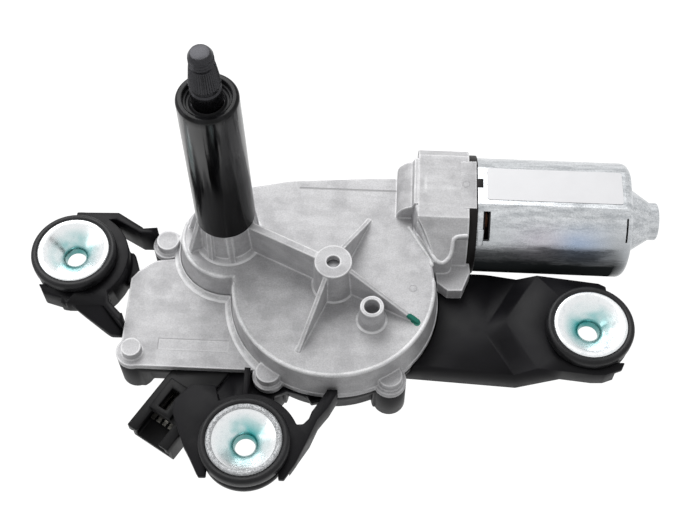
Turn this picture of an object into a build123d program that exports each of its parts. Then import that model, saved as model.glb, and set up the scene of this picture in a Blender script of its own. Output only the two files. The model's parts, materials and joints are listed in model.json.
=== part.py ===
"""Rear wiper motor: die-cast worm gearbox, long spindle, flat-sided motor can and a cover with three arms.

Millimetres. The spindle's axis is x = y = 0 with +Z towards the wiper arm, the motor's axis runs along +X,
and z = 0 is the underside of the rear cover, which the motor can's lower flat shares.
"""

import os
from math import acos, atan, atan2, cos, degrees, hypot, pi, radians, sin, sqrt, tan

from build123d import *

os.makedirs("parts", exist_ok=True)

# Fits and clearances
RUN_FIT = 0.05          # radial clearance of a shaft in its bush
LAY_GAP = 0.1           # between parts that are laid in or clipped together
FREE_GAP = 0.3          # between parts that move past each other

# Gearbox heights
SPLIT_Z = 14.8          # open underside of the housing
GASKET_T = 0.6
FLANGE_T = 2.5
HOUSING_TOP = 29.1
CAST_WALL = 2.6
TOWER_TOP = 45.3
COVER_FLOOR = 2.0
COVER_WALL = 2.2
COVER_RIM = 2.6
COVER_INSET = 3.0       # the cover's tray stands this far inside its rim

# Worm gear
WHEEL_AT = (39.0, -18.0)
MOTOR_Y = 19.5
MOTOR_Z = 19.8
MODULE = 1.0
WHEEL_TEETH = 64
WHEEL_T = 9.0
WORM_LENGTH = 24.0
TOOTH_ADDENDUM = 0.8
TOOTH_DEDENDUM = 1.1
FLANK_HALF = 0.615      # half thickness of thread and wheel tooth at the pitch line
FLANK_SLOPE = 0.36
WHEEL_WEB_T = 3.2
WHEEL_HUB_R = 12.5
WHEEL_RIM_R = 27.0      # inside of the toothed rim
CRANK_DISC_R = 11.0
CRANK_DISC_T = 2.5
PARK_DISC_T = 0.4
PARK_TRACKS = [(14.0, 17.8), (18.6, 22.6), (23.4, 28.5)]

# Crank, rod and sector
CRANK_R = 6.0
CRANK_ANGLE = 165.0     # where the crank stands in the park position
PINION_TEETH = 12
SECTOR_TEETH = 20
GEAR_MODULE = 1.25
GEAR_T = 5.5
LINK_T = 2.0
LINK_PIN_R = 4.0
ROD_LENGTH = 34.0
ROD_HUB_R = 7.0
ROD_EYE_R = 6.5
CRANK_PIN_R = 3.0
PRESSURE_ANGLE = 25.0
BACKLASH = 0.16

# Spindle
SPINDLE_R = 5.0
TUBE_FOOT_R = 10.5
TUBE_TOP_R = 10.0
TUBE_BORE_R = 7.0
TUBE_TOP = 111.5
CONE_Z = 117.5
THREAD_Z = 125.0
SPINDLE_TOP = 132.5
THREAD_R = 4.0
CONE_R = 5.15           # large end of the serrated cone for the wiper arm
SERRATIONS = 24
SERRATION = 0.25
BUSH_LENGTH = 14.0
LOWER_BUSH_Z = 31.0
UPPER_BUSH_Z = 91.9
CLIP_Z = 106.2          # retaining ring above the upper bush
CLIP_T = 1.0
CLIP_R = 6.5
CLIP_GROOVE = 0.4
TUBE_MOUTH_R = 7.7
TUBE_MOUTH_DEPTH = 4.0

# Motor
NECK_X = 68.0
NECK_END = 86.5
HOLDER_T = 3.1          # flange of the brush holder, seen between neck and can
ARMATURE_X = (94.0, 132.0)
CAN_END = ARMATURE_X[1] + 14.0
CAN_R = 21.3
CAN_WALL = 1.6
CAN_FLAT = MOTOR_Z      # half the height over the flats, so the lower flat is at z = 0
ARMATURE_R = 12.2
CAP_R = 13.0            # bearing cup on the can's end
CAP_NUB_X = CAN_END + 9.0
CAP_NUB_R = 7.0
CAP_END = CAN_END + 12.0
COMMUTATOR_X = (79.0, 88.0)
COMMUTATOR_R = 8.0
AIR_GAP = 0.7
MAGNET_T = 6.7
SHAFT_R = 3.0
SHAFT_END = CAP_NUB_X + 0.8
BRUSH = (5.0, 5.6, 5.4)     # along the shaft, across it, radial
SLOTS = 8
SLOT_MIDDLE_R = 8.6
SLOT_SIZE = (4.8, 4.0)  # radial and across
WINDING_R = 11.0        # winding head
WINDING_REACH = 4.5     # how far a head stands out of the core
CAN_BUSH_X = (CAP_NUB_X - 5.6, CAP_NUB_X + 1.2)
MAGNET_SPAN = 120.0
HOLDER_START = 74.0
FLANGE_R = CAN_R + 0.9     # flange of the brush holder
LABEL_X = (93.0, CAN_END - 4.0)
LABEL_Y = (13.5, 27.2)
CAN_SLOTS = [(93.0, 1.3, 29.0, 59.0), (CAN_END - 2.5, 0.35, 31.0, 55.0)]     # middle, half width, angles

# Mounting eyes
EYES = {"left": ((-56.5, -7.1), 180), "right": ((130.1, -28.9), 0), "bottom": ((12.0, -77.5), 270)}
BUSH_TOP = 27.5
BUSH_FLANGE_R = 13.0
BUSH_HOLE_R = 3.5
BUSH_SHEET = 1.2
FUNNEL_DEPTH = 5.3
GROMMET_R = 15.5
GROOVE_R = 11.9
FORK_TOP = 22.4
FORK_T = 2.2
SLOT_GAP = 0.2
BUSH_RIM_IN = 11.2      # inside of the bush's flat rim, where the funnel begins
BUSH_LIP_R = 7.5
BUSH_LIP_Z = 18.6
GROMMET_BOTTOM = 17.0

# Arms of the cover, in plan; the upper plates end at FORK_TOP
LEFT_RING_R = 19.4
LEFT_FOOT = 9.6
LEFT_UPPER_ARM = [(-20.0, 6.9), (-33.4, 6.6), (-43.3, 12.7), (-58.0, 12.2), (-54.0, 8.0), (-43.8, 9.6), (-34.2, 4.2),
                  (-20.0, 4.4)]
LEFT_LOWER_ARM = [(-33.0, -32.7), (-37.4, -32.4), (-43.4, -26.8), (-56.7, -26.6), (-58.7, -23.8), (-66.0, -21.8),
                  (-67.8, -19.6), (-67.5, -17.0), (-48.0, -10.0), (-43.0, -20.0), (-41.6, -25.0), (-36.9, -29.6),
                  (-33.0, -29.4)]
LEFT_BRIDGE = [(-45.0, 0.2), (-37.2, 0.2), (-36.2, -1.2), (-34.2, -7.0), (-33.0, -9.0), (-33.0, -12.6), (-45.0, -13.0)]
LEFT_RISE = [(-90.0, 16.5), (-50.0, 16.5), (-42.5, LEFT_FOOT)]      # lower edge of the walls, x and z
RIGHT_ARM = [(62.0, -3.2), (88.7, -3.2), (105.3, -5.4), (112.5, -7.4), (126.0, -8.9), (135.0, -9.8), (137.2, -11.0),
             (137.2, -17.2), (138.0, -37.0), (141.0, -37.8), (142.5, -40.0), (141.0, -43.5), (135.0, -46.0),
             (131.0, -46.2), (120.4, -45.2), (105.7, -44.4), (62.0, -42.4)]
RIGHT_CREASE_LOW = [(105.6, -5.6), (93.0, -27.0), (104.0, -44.3)]
RIGHT_CREASE_HIGH = [(112.4, -7.6), (100.7, -26.6), (111.5, -44.6)]
RIGHT_FOOT = 4.5
BOTTOM_RING_R = 18.8
BOTTOM_FOOT = 13.2
BOTTOM_LEFT_STRUT = [(-8.0, -56.0), (-13.7, -62.0), (-13.7, -67.0), (-9.4, -77.2), (-6.4, -82.5), (-2.6, -89.4),
                     (2.2, -89.2), (4.0, -70.0), (0.0, -56.0)]
BOTTOM_RIGHT_STRUT = [(42.4, -44.0), (42.2, -57.0), (39.4, -62.6), (35.9, -67.4), (33.3, -74.3), (29.6, -83.2),
                      (26.0, -89.2), (21.8, -89.2), (20.0, -70.0), (28.6, -69.4), (31.2, -69.1), (33.0, -67.0),
                      (33.8, -64.4), (36.1, -60.7), (38.6, -56.4), (38.6, -44.0)]
BOTTOM_PLATE = [(-8.0, -44.0), (-8.0, -70.0), (20.0, -66.0), (20.0, -55.6), (24.0, -53.6), (30.0, -54.8), (31.5, -55.4),
                (33.0, -57.8), (36.6, -56.9), (40.0, -44.0)]
BOTTOM_RISE = [(-74.0, BOTTOM_FOOT), (-82.0, 18.0), (-100.0, 18.0)]     # lower edge of the walls, y and z
BOTTOM_RIB_X = 10.2
ARM_WALL = 2.2
RIGHT_RIBS = [(90.0, -27.0, 36.0, 1.6), (91.0, -24.0, 1.6, 38.0), (102.0, -24.5, 1.6, 37.0)]

# Connector hood, in its own frame: s runs back from the mouth, w across it from the left side
HOOD_CORNER = (-30.1, -69.0)
HOOD_ANGLE = 58.9       # direction of s in plan
HOOD_WIDTH = 17.6
HOOD_BASE = 3.6
HOOD_TOP = 15.2
HOOD_WALL = 1.8
HOOD_DEPTH = 20.0
HOOD_RAIL = 4.0
HOOD_OPEN = 9.0         # length of the top that is open between the two rails
LATCH = (2.6, 11.8, 9.0, 22.0)          # w from, w to, s from, s to
LATCH_WINDOW = (5.5, 8.8, 11.0, 19.0)
LATCH_TOP = 17.0
PIN_PITCH = 2.5
PINS = 5
PIN_W = 1.5
PIN_T = 0.8
PIN_Z = 9.0
PIN_FROM, PIN_TO = 8.0, 42.0
TONGUE = (7.4, 11.0)    # the hood's tongue through the tray's front wall, lowest and highest z

# Contact board on the cover's floor
BOARD_T = 1.6
BOARD = [(-24.0, -11.5), (-29.0, -17.0), (-29.0, -41.0), (8.0, -41.0), (10.0, -37.5), (22.0, -37.5), (24.0, -41.0),
         (57.0, -41.0), (57.0, -30.0), (-15.0, -30.0), (-15.0, -11.5)]
CONTACT_W = 2.6
CONTACT_T = 0.35
CONTACT_X = (45.0, 49.0, 53.0)
CONTACT_FOOT_Y = (-40.5, -31.0, -31.5)

# What follows from the sizes above
COVER_TOP = SPLIT_Z - GASKET_T
WHEEL_R = WHEEL_TEETH * MODULE / 2
WORM_R = MOTOR_Y - WHEEL_AT[1] - WHEEL_R
WHEEL_Z = MOTOR_Z - WHEEL_T / 2
CHAMBER_R = WHEEL_R + TOOTH_ADDENDUM + 0.6
PINION_R = PINION_TEETH * GEAR_MODULE / 2
SECTOR_R = SECTOR_TEETH * GEAR_MODULE / 2
LINK_LENGTH = PINION_R + SECTOR_R
LINK_Z = COVER_FLOOR + 1.3
GEAR_Z = LINK_Z + LINK_T + FREE_GAP
CRANK_AT = (
    WHEEL_AT[0] + CRANK_R * cos(radians(CRANK_ANGLE)),
    WHEEL_AT[1] + CRANK_R * sin(radians(CRANK_ANGLE)),
)
CRANK_REACH = hypot(*CRANK_AT)
LINK_ANGLE = degrees(
    atan2(CRANK_AT[1], CRANK_AT[0])
    - acos((LINK_LENGTH**2 + CRANK_REACH**2 - ROD_LENGTH**2) / (2 * LINK_LENGTH * CRANK_REACH))
)
SECTOR_AT = (LINK_LENGTH * cos(radians(LINK_ANGLE)), LINK_LENGTH * sin(radians(LINK_ANGLE)))
ROD_ANGLE = degrees(atan2(CRANK_AT[1] - SECTOR_AT[1], CRANK_AT[0] - SECTOR_AT[0]))
TRAY_INSIDE = -COVER_INSET - COVER_WALL
CAN_START = NECK_END + HOLDER_T
BRUSH_X = sum(COMMUTATOR_X) / 2 - 1.3
BOARD_Z = COVER_FLOOR + FREE_GAP
HOOD_FRAME = Plane(
    origin=(*HOOD_CORNER, 0),
    x_dir=(cos(radians(HOOD_ANGLE)), sin(radians(HOOD_ANGLE)), 0),
    z_dir=(0, 0, 1),
)

# Plan of the gearbox at the split line
FLANGE_CORNERS = [(-27.5, -4.6), (-33.6, -9.2), (-36.0, -12.5), (-36.0, -47.5), (14.0, -47.5), WHEEL_AT, (0, 0)]
TUNNEL_CORNERS = [(0, 0), WHEEL_AT, (NECK_X, -2), (NECK_X, 29.6), (49.4, 28.9), (20.3, 26.4), (6.6, 23.3), (-13.0, 13.0)]
TURRET_FOOT_R = 19.4
TURRET_TOP_R = 17.0
CHAMBER_FOOT_R = 37.7
CHAMBER_TOP_R = 36.0
LUG_R = 5.8             # rim around each screw
BOSS_TOP = 20.8
SCREWS = [(-23.8, 2.4, 4.1), (-31.7, -42.0, 3.55), (17.6, -49.3, 4.4), (60.2, -49.0, 4.3)]
SCREW_R = 2.0
SCREW_HEAD_R = 3.6
SCREW_HEAD_T = 2.6
COVER_BOSS_R = 6.4

# Ribs and boss on the housing's top
WHEEL_BOSS_R = 6.5
WHEEL_BOSS_TOP = 45.0
PIN_HOLE_R = 2.35
RIB_T = 1.6
WEB_T = 2.8
RIB_ENDS = [(50.7, 9.5), (27.9, -45.4), (69.6, -32.0)]
HOLLOW_PIN_AT = (53.0, -31.8)
HOLLOW_PIN_R = 4.1
HOLLOW_PIN_BORE = 2.75
HOLLOW_PIN_TOP = 39.1

# Neck that holds the brushes
NECK_R = 23.4
NECK_TOP = 39.4
WEDGE_CREST_Y = 5.5
WEDGE_FOOT = (-7.5, 29.6)
NOTCH_X = 80.9
NECK_LUG = [(76.1, -11.5), (80.0, -14.6), (85.2, -14.4), (88.1, -6.8), (87.6, -1.3), (NOTCH_X, 4.0), (74.0, 4.0)]
NECK_LUG_TOP = 21.5
ARM_TOP = 15.5          # low plate of the right arm
NECK_LUG_AT = (82.6, -8.6)
NECK_BORE_R = 19.4

# Bores
WORM_X = WHEEL_AT[0]
TUNNEL_R = 7.2
WORM_BUSH_X = 23.0
WORM_BUSH_T = 6.0
WORM_BUSH_R = 4.2
TUBE_SEAT_Z = 31.0
TUBE_SPIGOT_R = 8.2
WHEEL_SHAFT_R = 4.0
WHEEL_SHAFT_TOP = 42.0


def save(piece, name):
    """Label a finished piece and write it as the node of that name."""
    piece.part.label = name
    export_step(piece.part, f"parts/{name}.step")


def footprint(grow=0.0):
    """Plan of the gearbox without its screw lugs, with every outline moved out by grow."""
    with BuildSketch() as plan:
        for corners in (FLANGE_CORNERS, TUNNEL_CORNERS):
            with BuildSketch(mode=Mode.PRIVATE) as block:
                with BuildLine():
                    Polyline(*corners, close=True)
                make_face()
                if grow:
                    offset(amount=grow, kind=Kind.INTERSECTION)
            add(block.sketch)
        with Locations(WHEEL_AT):
            Circle(CHAMBER_FOOT_R + grow)
        Circle(TURRET_FOOT_R + grow)
    return plan.sketch


def round_corners(plan):
    """Round the two free corners of the flange's left end."""
    with BuildSketch() as rounded:
        add(plan)
        left = rounded.vertices().filter_by(lambda v: v.X < FLANGE_CORNERS[3][0] + COVER_INSET * 3)
        fillet(left.sort_by(Axis.Y)[0], 5.0)
    return rounded.sketch


def screw_places():
    """Centres of the five screws that hold the cover: four in the rim and one in the neck's lug."""
    return [(x, y) for x, y, _ in SCREWS] + [NECK_LUG_AT]


def screw_seats():
    """Centre and height of the face that each screw's head bears on."""
    return [(x, y, COVER_TOP - COVER_RIM) for x, y, _ in SCREWS] + [(*NECK_LUG_AT, ARM_TOP - FORK_T)]


def rim_plan(clear=0.0):
    """Plan of the flange with its screw lugs, grown by a clearance."""
    with BuildSketch() as plan:
        add(round_corners(footprint(clear)))
        for x, y, _ in SCREWS:
            with Locations((x, y)):
                Circle(LUG_R + clear)
    return plan.sketch


def round_block(at, foot_r, top_r):
    """Slightly tapered round block of the casting, from the split line to its top, with a rounded edge."""
    with BuildPart() as block:
        with Locations((*at, SPLIT_Z)):
            Cone(foot_r, top_r, HOUSING_TOP - SPLIT_Z, align=(Align.CENTER, Align.CENTER, Align.MIN))
        fillet(block.edges().filter_by(GeomType.CIRCLE).sort_by(Axis.Z)[-1], 0.9)
    return block.part


def housing_body():
    """Outer form of the casting: chamber, turret, worm tunnel, flange and screw bosses, still solid."""
    with BuildPart() as tunnel:
        with BuildSketch(Plane.XY.offset(SPLIT_Z)):
            with BuildLine():
                Polyline(*TUNNEL_CORNERS, close=True)
            make_face()
        extrude(amount=HOUSING_TOP - SPLIT_Z, taper=4)
        fillet(tunnel.faces().sort_by(Axis.Z)[-1].outer_wire().edges(), 0.9)
    with BuildPart() as body:
        add(tunnel.part)
        add(round_block(WHEEL_AT, CHAMBER_FOOT_R, CHAMBER_TOP_R))
        add(round_block((0, 0), TURRET_FOOT_R, TURRET_TOP_R))
        with BuildSketch(Plane.XY.offset(SPLIT_Z)):
            add(rim_plan())
        extrude(amount=FLANGE_T)
        for x, y, boss_r in SCREWS:
            with BuildSketch(Plane.XY.offset(SPLIT_Z)):
                with Locations((x, y)):
                    Circle(boss_r)
            extrude(amount=BOSS_TOP - SPLIT_Z)
    return body.part


def housing_neck():
    """Round neck for the brushes, with its flat top, front wedge, shoulder and screw lug."""
    with BuildPart() as neck:
        with BuildSketch(Plane.YZ.offset(NECK_X)):
            with Locations((MOTOR_Y, MOTOR_Z)):
                Circle(NECK_R)
                Rectangle(2 * NECK_R, 2 * (NECK_TOP - MOTOR_Z), mode=Mode.INTERSECT)
        extrude(amount=NECK_END - NECK_X)
        # Front wedge, which slopes down beside the wheel chamber
        with BuildSketch(Plane.YZ.offset(NECK_X)):
            with BuildLine():
                Polyline(
                    (WEDGE_CREST_Y, NECK_TOP),
                    WEDGE_FOOT,
                    (WEDGE_FOOT[0], SPLIT_Z + 1.0),
                    (MOTOR_Y, SPLIT_Z + 1.0),
                    (MOTOR_Y, NECK_TOP),
                    close=True,
                )
            make_face()
        extrude(amount=NOTCH_X - NECK_X)
        with BuildSketch(Plane.YZ.offset(NOTCH_X)):
            with BuildLine():
                slope = (NECK_TOP - WEDGE_FOOT[1]) / (WEDGE_CREST_Y - WEDGE_FOOT[0])
                Polyline(
                    (WEDGE_CREST_Y, NECK_TOP),
                    (0, NECK_TOP - slope * WEDGE_CREST_Y),
                    (0, NECK_LUG_TOP - 2),
                    (MOTOR_Y, NECK_LUG_TOP - 2),
                    (MOTOR_Y, NECK_TOP),
                    close=True,
                )
            make_face()
        extrude(amount=NECK_END - NOTCH_X)
        # Above the chamber's top the wedge stands back to the chamber's round edge
        with BuildSketch(Plane.XY.offset(HOUSING_TOP)):
            with Locations(WHEEL_AT):
                Circle(CHAMBER_TOP_R + 1.0)
        extrude(amount=NECK_TOP, mode=Mode.SUBTRACT)
        tip = neck.edges().filter_by(Axis.Z).filter_by(
            lambda e: abs(e.center().X - NOTCH_X) < 0.01 and abs(e.center().Y - WEDGE_FOOT[0]) < 0.01
        )
        fillet(tip, 2.5)
        # Shoulder between the worm tunnel and the neck
        with BuildSketch(Plane.XZ.offset(-31.0)):
            with BuildLine():
                Polyline((NECK_X, SPLIT_Z + 6), (60.4, SPLIT_Z + 6), (60.4, HOUSING_TOP))
                ThreePointArc((60.4, HOUSING_TOP), (62.0, 34.0), (65.8, 36.4))
                Polyline((65.8, 36.4), (66.6, NECK_TOP - 0.4), (NECK_X, NECK_TOP - 0.4), (NECK_X, SPLIT_Z + 6))
            make_face()
        extrude(amount=20.0)
        # Screw lug above the cover's right arm
        with BuildSketch(Plane.XY.offset(ARM_TOP + 0.2)):
            with BuildLine():
                Polyline(*NECK_LUG, close=True)
            make_face()
        extrude(amount=NECK_LUG_TOP - ARM_TOP - 0.2)
    return neck.part


def housing_top():
    """Tower, web, wheel boss, three ribs and the hollow pin, all cast on the housing's top."""
    foot = HOUSING_TOP - 0.5
    with BuildPart() as top:
        with Locations((0, 0, foot)):
            Cone(TUBE_FOOT_R, TUBE_FOOT_R - 0.8, TOWER_TOP - foot, align=(Align.CENTER, Align.CENTER, Align.MIN))
        # Upright flutes round the tower, two of them wider at the foot
        for angle, reach in ((20, 1.2), (70, 1.2), (120, 1.2), (165, 5.0), (205, 5.0), (240, 1.2), (282, 1.2)):
            with BuildSketch(Plane(origin=(0, 0, foot), x_dir=(cos(radians(angle)), sin(radians(angle)), 0),
                                   z_dir=(sin(radians(angle)), -cos(radians(angle)), 0))):
                with BuildLine():
                    Polyline(
                        (0, 0),
                        (TUBE_FOOT_R + reach, 0),
                        (TUBE_FOOT_R - 0.1, TOWER_TOP - foot),
                        (0, TOWER_TOP - foot),
                        close=True,
                    )
                make_face()
            extrude(amount=1.1, both=True)
        with Locations((*WHEEL_AT, foot)):
            Cone(WHEEL_BOSS_R + 0.8, WHEEL_BOSS_R, WHEEL_BOSS_TOP - foot,
                 align=(Align.CENTER, Align.CENTER, Align.MIN))
        # Web from the tower to the wheel boss
        reach = hypot(*WHEEL_AT)
        along = (WHEEL_AT[0] / reach, WHEEL_AT[1] / reach, 0)
        with BuildSketch(Plane(origin=(0, 0, foot), x_dir=along, z_dir=(along[1], -along[0], 0))):
            with BuildLine():
                Polyline((0, 0), (reach, 0), (reach, WHEEL_BOSS_TOP - 0.6 - foot), (0, WHEEL_BOSS_TOP - 0.6 - foot),
                         close=True)
            make_face()
        extrude(amount=WEB_T / 2, both=True)
        for end in RIB_ENDS:
            run = hypot(end[0] - WHEEL_AT[0], end[1] - WHEEL_AT[1])
            along = ((end[0] - WHEEL_AT[0]) / run, (end[1] - WHEEL_AT[1]) / run, 0)
            with BuildSketch(Plane(origin=(*WHEEL_AT, foot), x_dir=along, z_dir=(along[1], -along[0], 0))):
                with BuildLine():
                    Polyline((0, 0), (run, 0), (run, 0.8), (WHEEL_BOSS_R, WHEEL_BOSS_TOP - 1.0 - foot),
                             (0, WHEEL_BOSS_TOP - 1.0 - foot), close=True)
                make_face()
            extrude(amount=RIB_T / 2, both=True)
        with Locations((*HOLLOW_PIN_AT, foot)):
            Cone(HOLLOW_PIN_R + 0.6, HOLLOW_PIN_R, HOLLOW_PIN_TOP - foot,
                 align=(Align.CENTER, Align.CENTER, Align.MIN))
        # Short rib that ties the hollow pin to the long one
        with BuildSketch(Plane.XY.offset(foot)):
            with Locations(((HOLLOW_PIN_AT[0] + 1.2), HOLLOW_PIN_AT[1] + 4.2)):
                Rectangle(RIB_T, 5.0)
        extrude(amount=6.5)
        with Locations((*HOLLOW_PIN_AT, HOLLOW_PIN_TOP)):
            Hole(HOLLOW_PIN_BORE, HOLLOW_PIN_TOP - HOUSING_TOP)
    return top.part


def gear_housing():
    """Die-cast housing: the outer form less its chambers, bores and screw holes."""
    with BuildPart() as housing:
        add(housing_body())
        add(housing_neck())
        add(housing_top())
        # Wheel chamber and the turret's lightening pocket
        roof = HOUSING_TOP - CAST_WALL
        with BuildSketch(Plane.XY.offset(SPLIT_Z)):
            with Locations(WHEEL_AT):
                Circle(CHAMBER_R)
        extrude(amount=roof - SPLIT_Z, mode=Mode.SUBTRACT)
        with BuildSketch(Plane.XY.offset(SPLIT_Z)):
            Circle(TURRET_TOP_R - CAST_WALL)
            Circle(TUBE_BORE_R + 3, mode=Mode.SUBTRACT)
        extrude(amount=roof - SPLIT_Z, mode=Mode.SUBTRACT)
        with BuildSketch(Plane.XY.offset(SPLIT_Z)):
            Circle(TUBE_BORE_R + 3)
        extrude(amount=4.0, mode=Mode.SUBTRACT)
        # Worm tunnel, bush seat and neck
        with BuildSketch(Plane.YZ.offset(WORM_X - WORM_LENGTH / 2 - 4)):
            with Locations((MOTOR_Y, MOTOR_Z)):
                Circle(TUNNEL_R)
        extrude(amount=NECK_X + 1 - WORM_X + WORM_LENGTH / 2 + 4, mode=Mode.SUBTRACT)
        with BuildSketch(Plane.YZ.offset(WORM_BUSH_X - WORM_BUSH_T)):
            with Locations((MOTOR_Y, MOTOR_Z)):
                Circle(WORM_BUSH_R)
        extrude(amount=WORM_X - WORM_LENGTH / 2 - WORM_BUSH_X + WORM_BUSH_T, mode=Mode.SUBTRACT)
        with BuildSketch(Plane.YZ.offset(NECK_X + CAST_WALL)):
            with Locations((MOTOR_Y, MOTOR_Z)):
                Circle(NECK_BORE_R)
        extrude(amount=NECK_END - NECK_X - CAST_WALL, mode=Mode.SUBTRACT)
        with BuildSketch(Plane.YZ.offset(NECK_X - 1)):
            with Locations((MOTOR_Y, MOTOR_Z)):
                Circle(SHAFT_R + 1.5)
        extrude(amount=CAST_WALL + 2, mode=Mode.SUBTRACT)
        # Room for the brush holder's flange beside the screw lug
        with BuildSketch(Plane.YZ.offset(NECK_END)):
            with Locations((MOTOR_Y, MOTOR_Z)):
                Circle(FLANGE_R + FREE_GAP)
        extrude(amount=HOLDER_T, mode=Mode.SUBTRACT)
        # Spindle bore with the seat of the tube, wheel shaft bore and its small top hole
        with BuildSketch(Plane.XY.offset(SPLIT_Z)):
            Circle(SPINDLE_R + FREE_GAP)
        extrude(amount=TOWER_TOP - SPLIT_Z, mode=Mode.SUBTRACT)
        with BuildSketch(Plane.XY.offset(TUBE_SEAT_Z)):
            Circle(TUBE_SPIGOT_R + LAY_GAP)
        extrude(amount=TOWER_TOP - TUBE_SEAT_Z, mode=Mode.SUBTRACT)
        with BuildSketch(Plane.XY.offset(roof - 1)):
            with Locations(WHEEL_AT):
                Circle(WHEEL_SHAFT_R + RUN_FIT)
        extrude(amount=WHEEL_SHAFT_TOP + FREE_GAP - roof + 1, mode=Mode.SUBTRACT)
        with BuildSketch(Plane.XY.offset(WHEEL_SHAFT_TOP)):
            with Locations(WHEEL_AT):
                Circle(PIN_HOLE_R)
        extrude(amount=WHEEL_BOSS_TOP - WHEEL_SHAFT_TOP, mode=Mode.SUBTRACT)
        # Blind holes for the cover screws, from below
        for x, y in screw_places():
            with BuildSketch(Plane.XY.offset(SPLIT_Z)):
                with Locations((x, y)):
                    Circle(SCREW_R)
            extrude(amount=BOSS_TOP - SPLIT_Z - 2.0, mode=Mode.SUBTRACT)
    return housing


def turned(profile, at=(0, 0)):
    """Body of revolution about the vertical axis through at, from (radius, z) points."""
    with BuildPart() as piece:
        with BuildSketch(Plane(origin=(*at, 0), x_dir=(1, 0, 0), z_dir=(0, -1, 0))):
            with BuildLine():
                Polyline(*profile, close=True)
            make_face()
        revolve(axis=Axis((*at, 0), (0, 0, 1)))
    return piece


def ring(inner, outer, low, high, at=(0, 0)):
    """Plain upright ring or, with no inner radius, a disc."""
    with BuildPart() as piece:
        with BuildSketch(Plane.XY.offset(low)):
            with Locations(at):
                Circle(outer)
                if inner:
                    Circle(inner, mode=Mode.SUBTRACT)
        extrude(amount=high - low)
    return piece


def motor_ring(inner, outer, start, end):
    """Ring or disc about the motor's axis, from x = start to x = end."""
    with BuildPart() as piece:
        with BuildSketch(Plane.YZ.offset(start)):
            with Locations((MOTOR_Y, MOTOR_Z)):
                Circle(outer)
                if inner:
                    Circle(inner, mode=Mode.SUBTRACT)
        extrude(amount=end - start)
    return piece


def shaft_tube():
    """Tube over the spindle: spigot in the tower, slightly tapered outside, stepped mouth."""
    with BuildPart() as tube:
        with BuildSketch(Plane.XZ):
            with BuildLine():
                Polyline(
                    (TUBE_BORE_R, TUBE_SEAT_Z),
                    (TUBE_SPIGOT_R, TUBE_SEAT_Z),
                    (TUBE_SPIGOT_R, TOWER_TOP),
                    (TUBE_FOOT_R, TOWER_TOP),
                    (TUBE_FOOT_R, TOWER_TOP + 2),
                    (TUBE_TOP_R, TUBE_TOP),
                    (TUBE_MOUTH_R, TUBE_TOP),
                    (TUBE_MOUTH_R, TUBE_TOP - TUBE_MOUTH_DEPTH),
                    (TUBE_BORE_R, TUBE_TOP - TUBE_MOUTH_DEPTH),
                    close=True,
                )
            make_face()
        revolve(axis=Axis.Z)
        rim = tube.edges().filter_by(GeomType.CIRCLE).group_by(Axis.Z)[-1]
        fillet(rim.sort_by(lambda e: e.radius)[-1], 1.2)
        fillet(rim.sort_by(lambda e: e.radius)[0], 0.5)
    return tube


def tube_seal():
    """Rubber lip seal pressed into the tube's mouth."""
    base = TUBE_TOP - TUBE_MOUTH_DEPTH
    return turned([
        (SPINDLE_R + FREE_GAP, base),
        (TUBE_MOUTH_R, base),
        (TUBE_MOUTH_R, base + 2.4),
        (TUBE_MOUTH_R - 0.7, base + 2.4),
        (TUBE_MOUTH_R - 0.9, base + 1.4),
        (SPINDLE_R + 1.1, base + 1.4),
        (SPINDLE_R + FREE_GAP, base + 2.2),
    ])


def spindle():
    """Hardened spindle with a serrated cone and an M8 end, plain inside the bushes."""
    with BuildPart() as shaft:
        with BuildSketch(Plane.XZ):
            with BuildLine():
                Polyline(
                    (0, LINK_Z - 0.2),
                    (SPINDLE_R - 0.6, LINK_Z - 0.2),
                    (SPINDLE_R, LINK_Z + 0.4),
                    (SPINDLE_R, CLIP_Z - LAY_GAP),
                    (SPINDLE_R - CLIP_GROOVE, CLIP_Z - LAY_GAP),
                    (SPINDLE_R - CLIP_GROOVE, CLIP_Z + CLIP_T + LAY_GAP),
                    (SPINDLE_R, CLIP_Z + CLIP_T + LAY_GAP),
                    (SPINDLE_R, CONE_Z - 1.5),
                    (SPINDLE_R - 0.5, CONE_Z - 1.3),
                    (SPINDLE_R - 0.5, CONE_Z),
                    (CONE_R, CONE_Z),
                    (THREAD_R + 0.2, THREAD_Z),
                    (THREAD_R - 0.5, THREAD_Z),
                    (THREAD_R - 0.5, THREAD_Z + 0.8),
                    (THREAD_R, THREAD_Z + 0.8),
                    (THREAD_R, SPINDLE_TOP - 2.2),
                    (THREAD_R - 1.1, SPINDLE_TOP),
                    (0, SPINDLE_TOP),
                    close=True,
                )
            make_face()
        revolve(axis=Axis.Z)
        # Serrations of the cone: shallow grooves along its slope
        slope = (THREAD_R + 0.2 - CONE_R) / (THREAD_Z - CONE_Z)
        with BuildSketch(Plane.XZ):
            with BuildLine():
                Polyline(
                    (CONE_R - SERRATION, CONE_Z - 0.1),
                    (CONE_R + 1, CONE_Z - 0.1),
                    (CONE_R + 1, THREAD_Z + 0.05),
                    (CONE_R - SERRATION + slope * (THREAD_Z - CONE_Z), THREAD_Z + 0.05),
                    close=True,
                )
            make_face()
        groove = extrude(amount=0.22, both=True, mode=Mode.PRIVATE)
        with PolarLocations(0, SERRATIONS):
            add(groove, mode=Mode.SUBTRACT)
    return shaft


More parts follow.
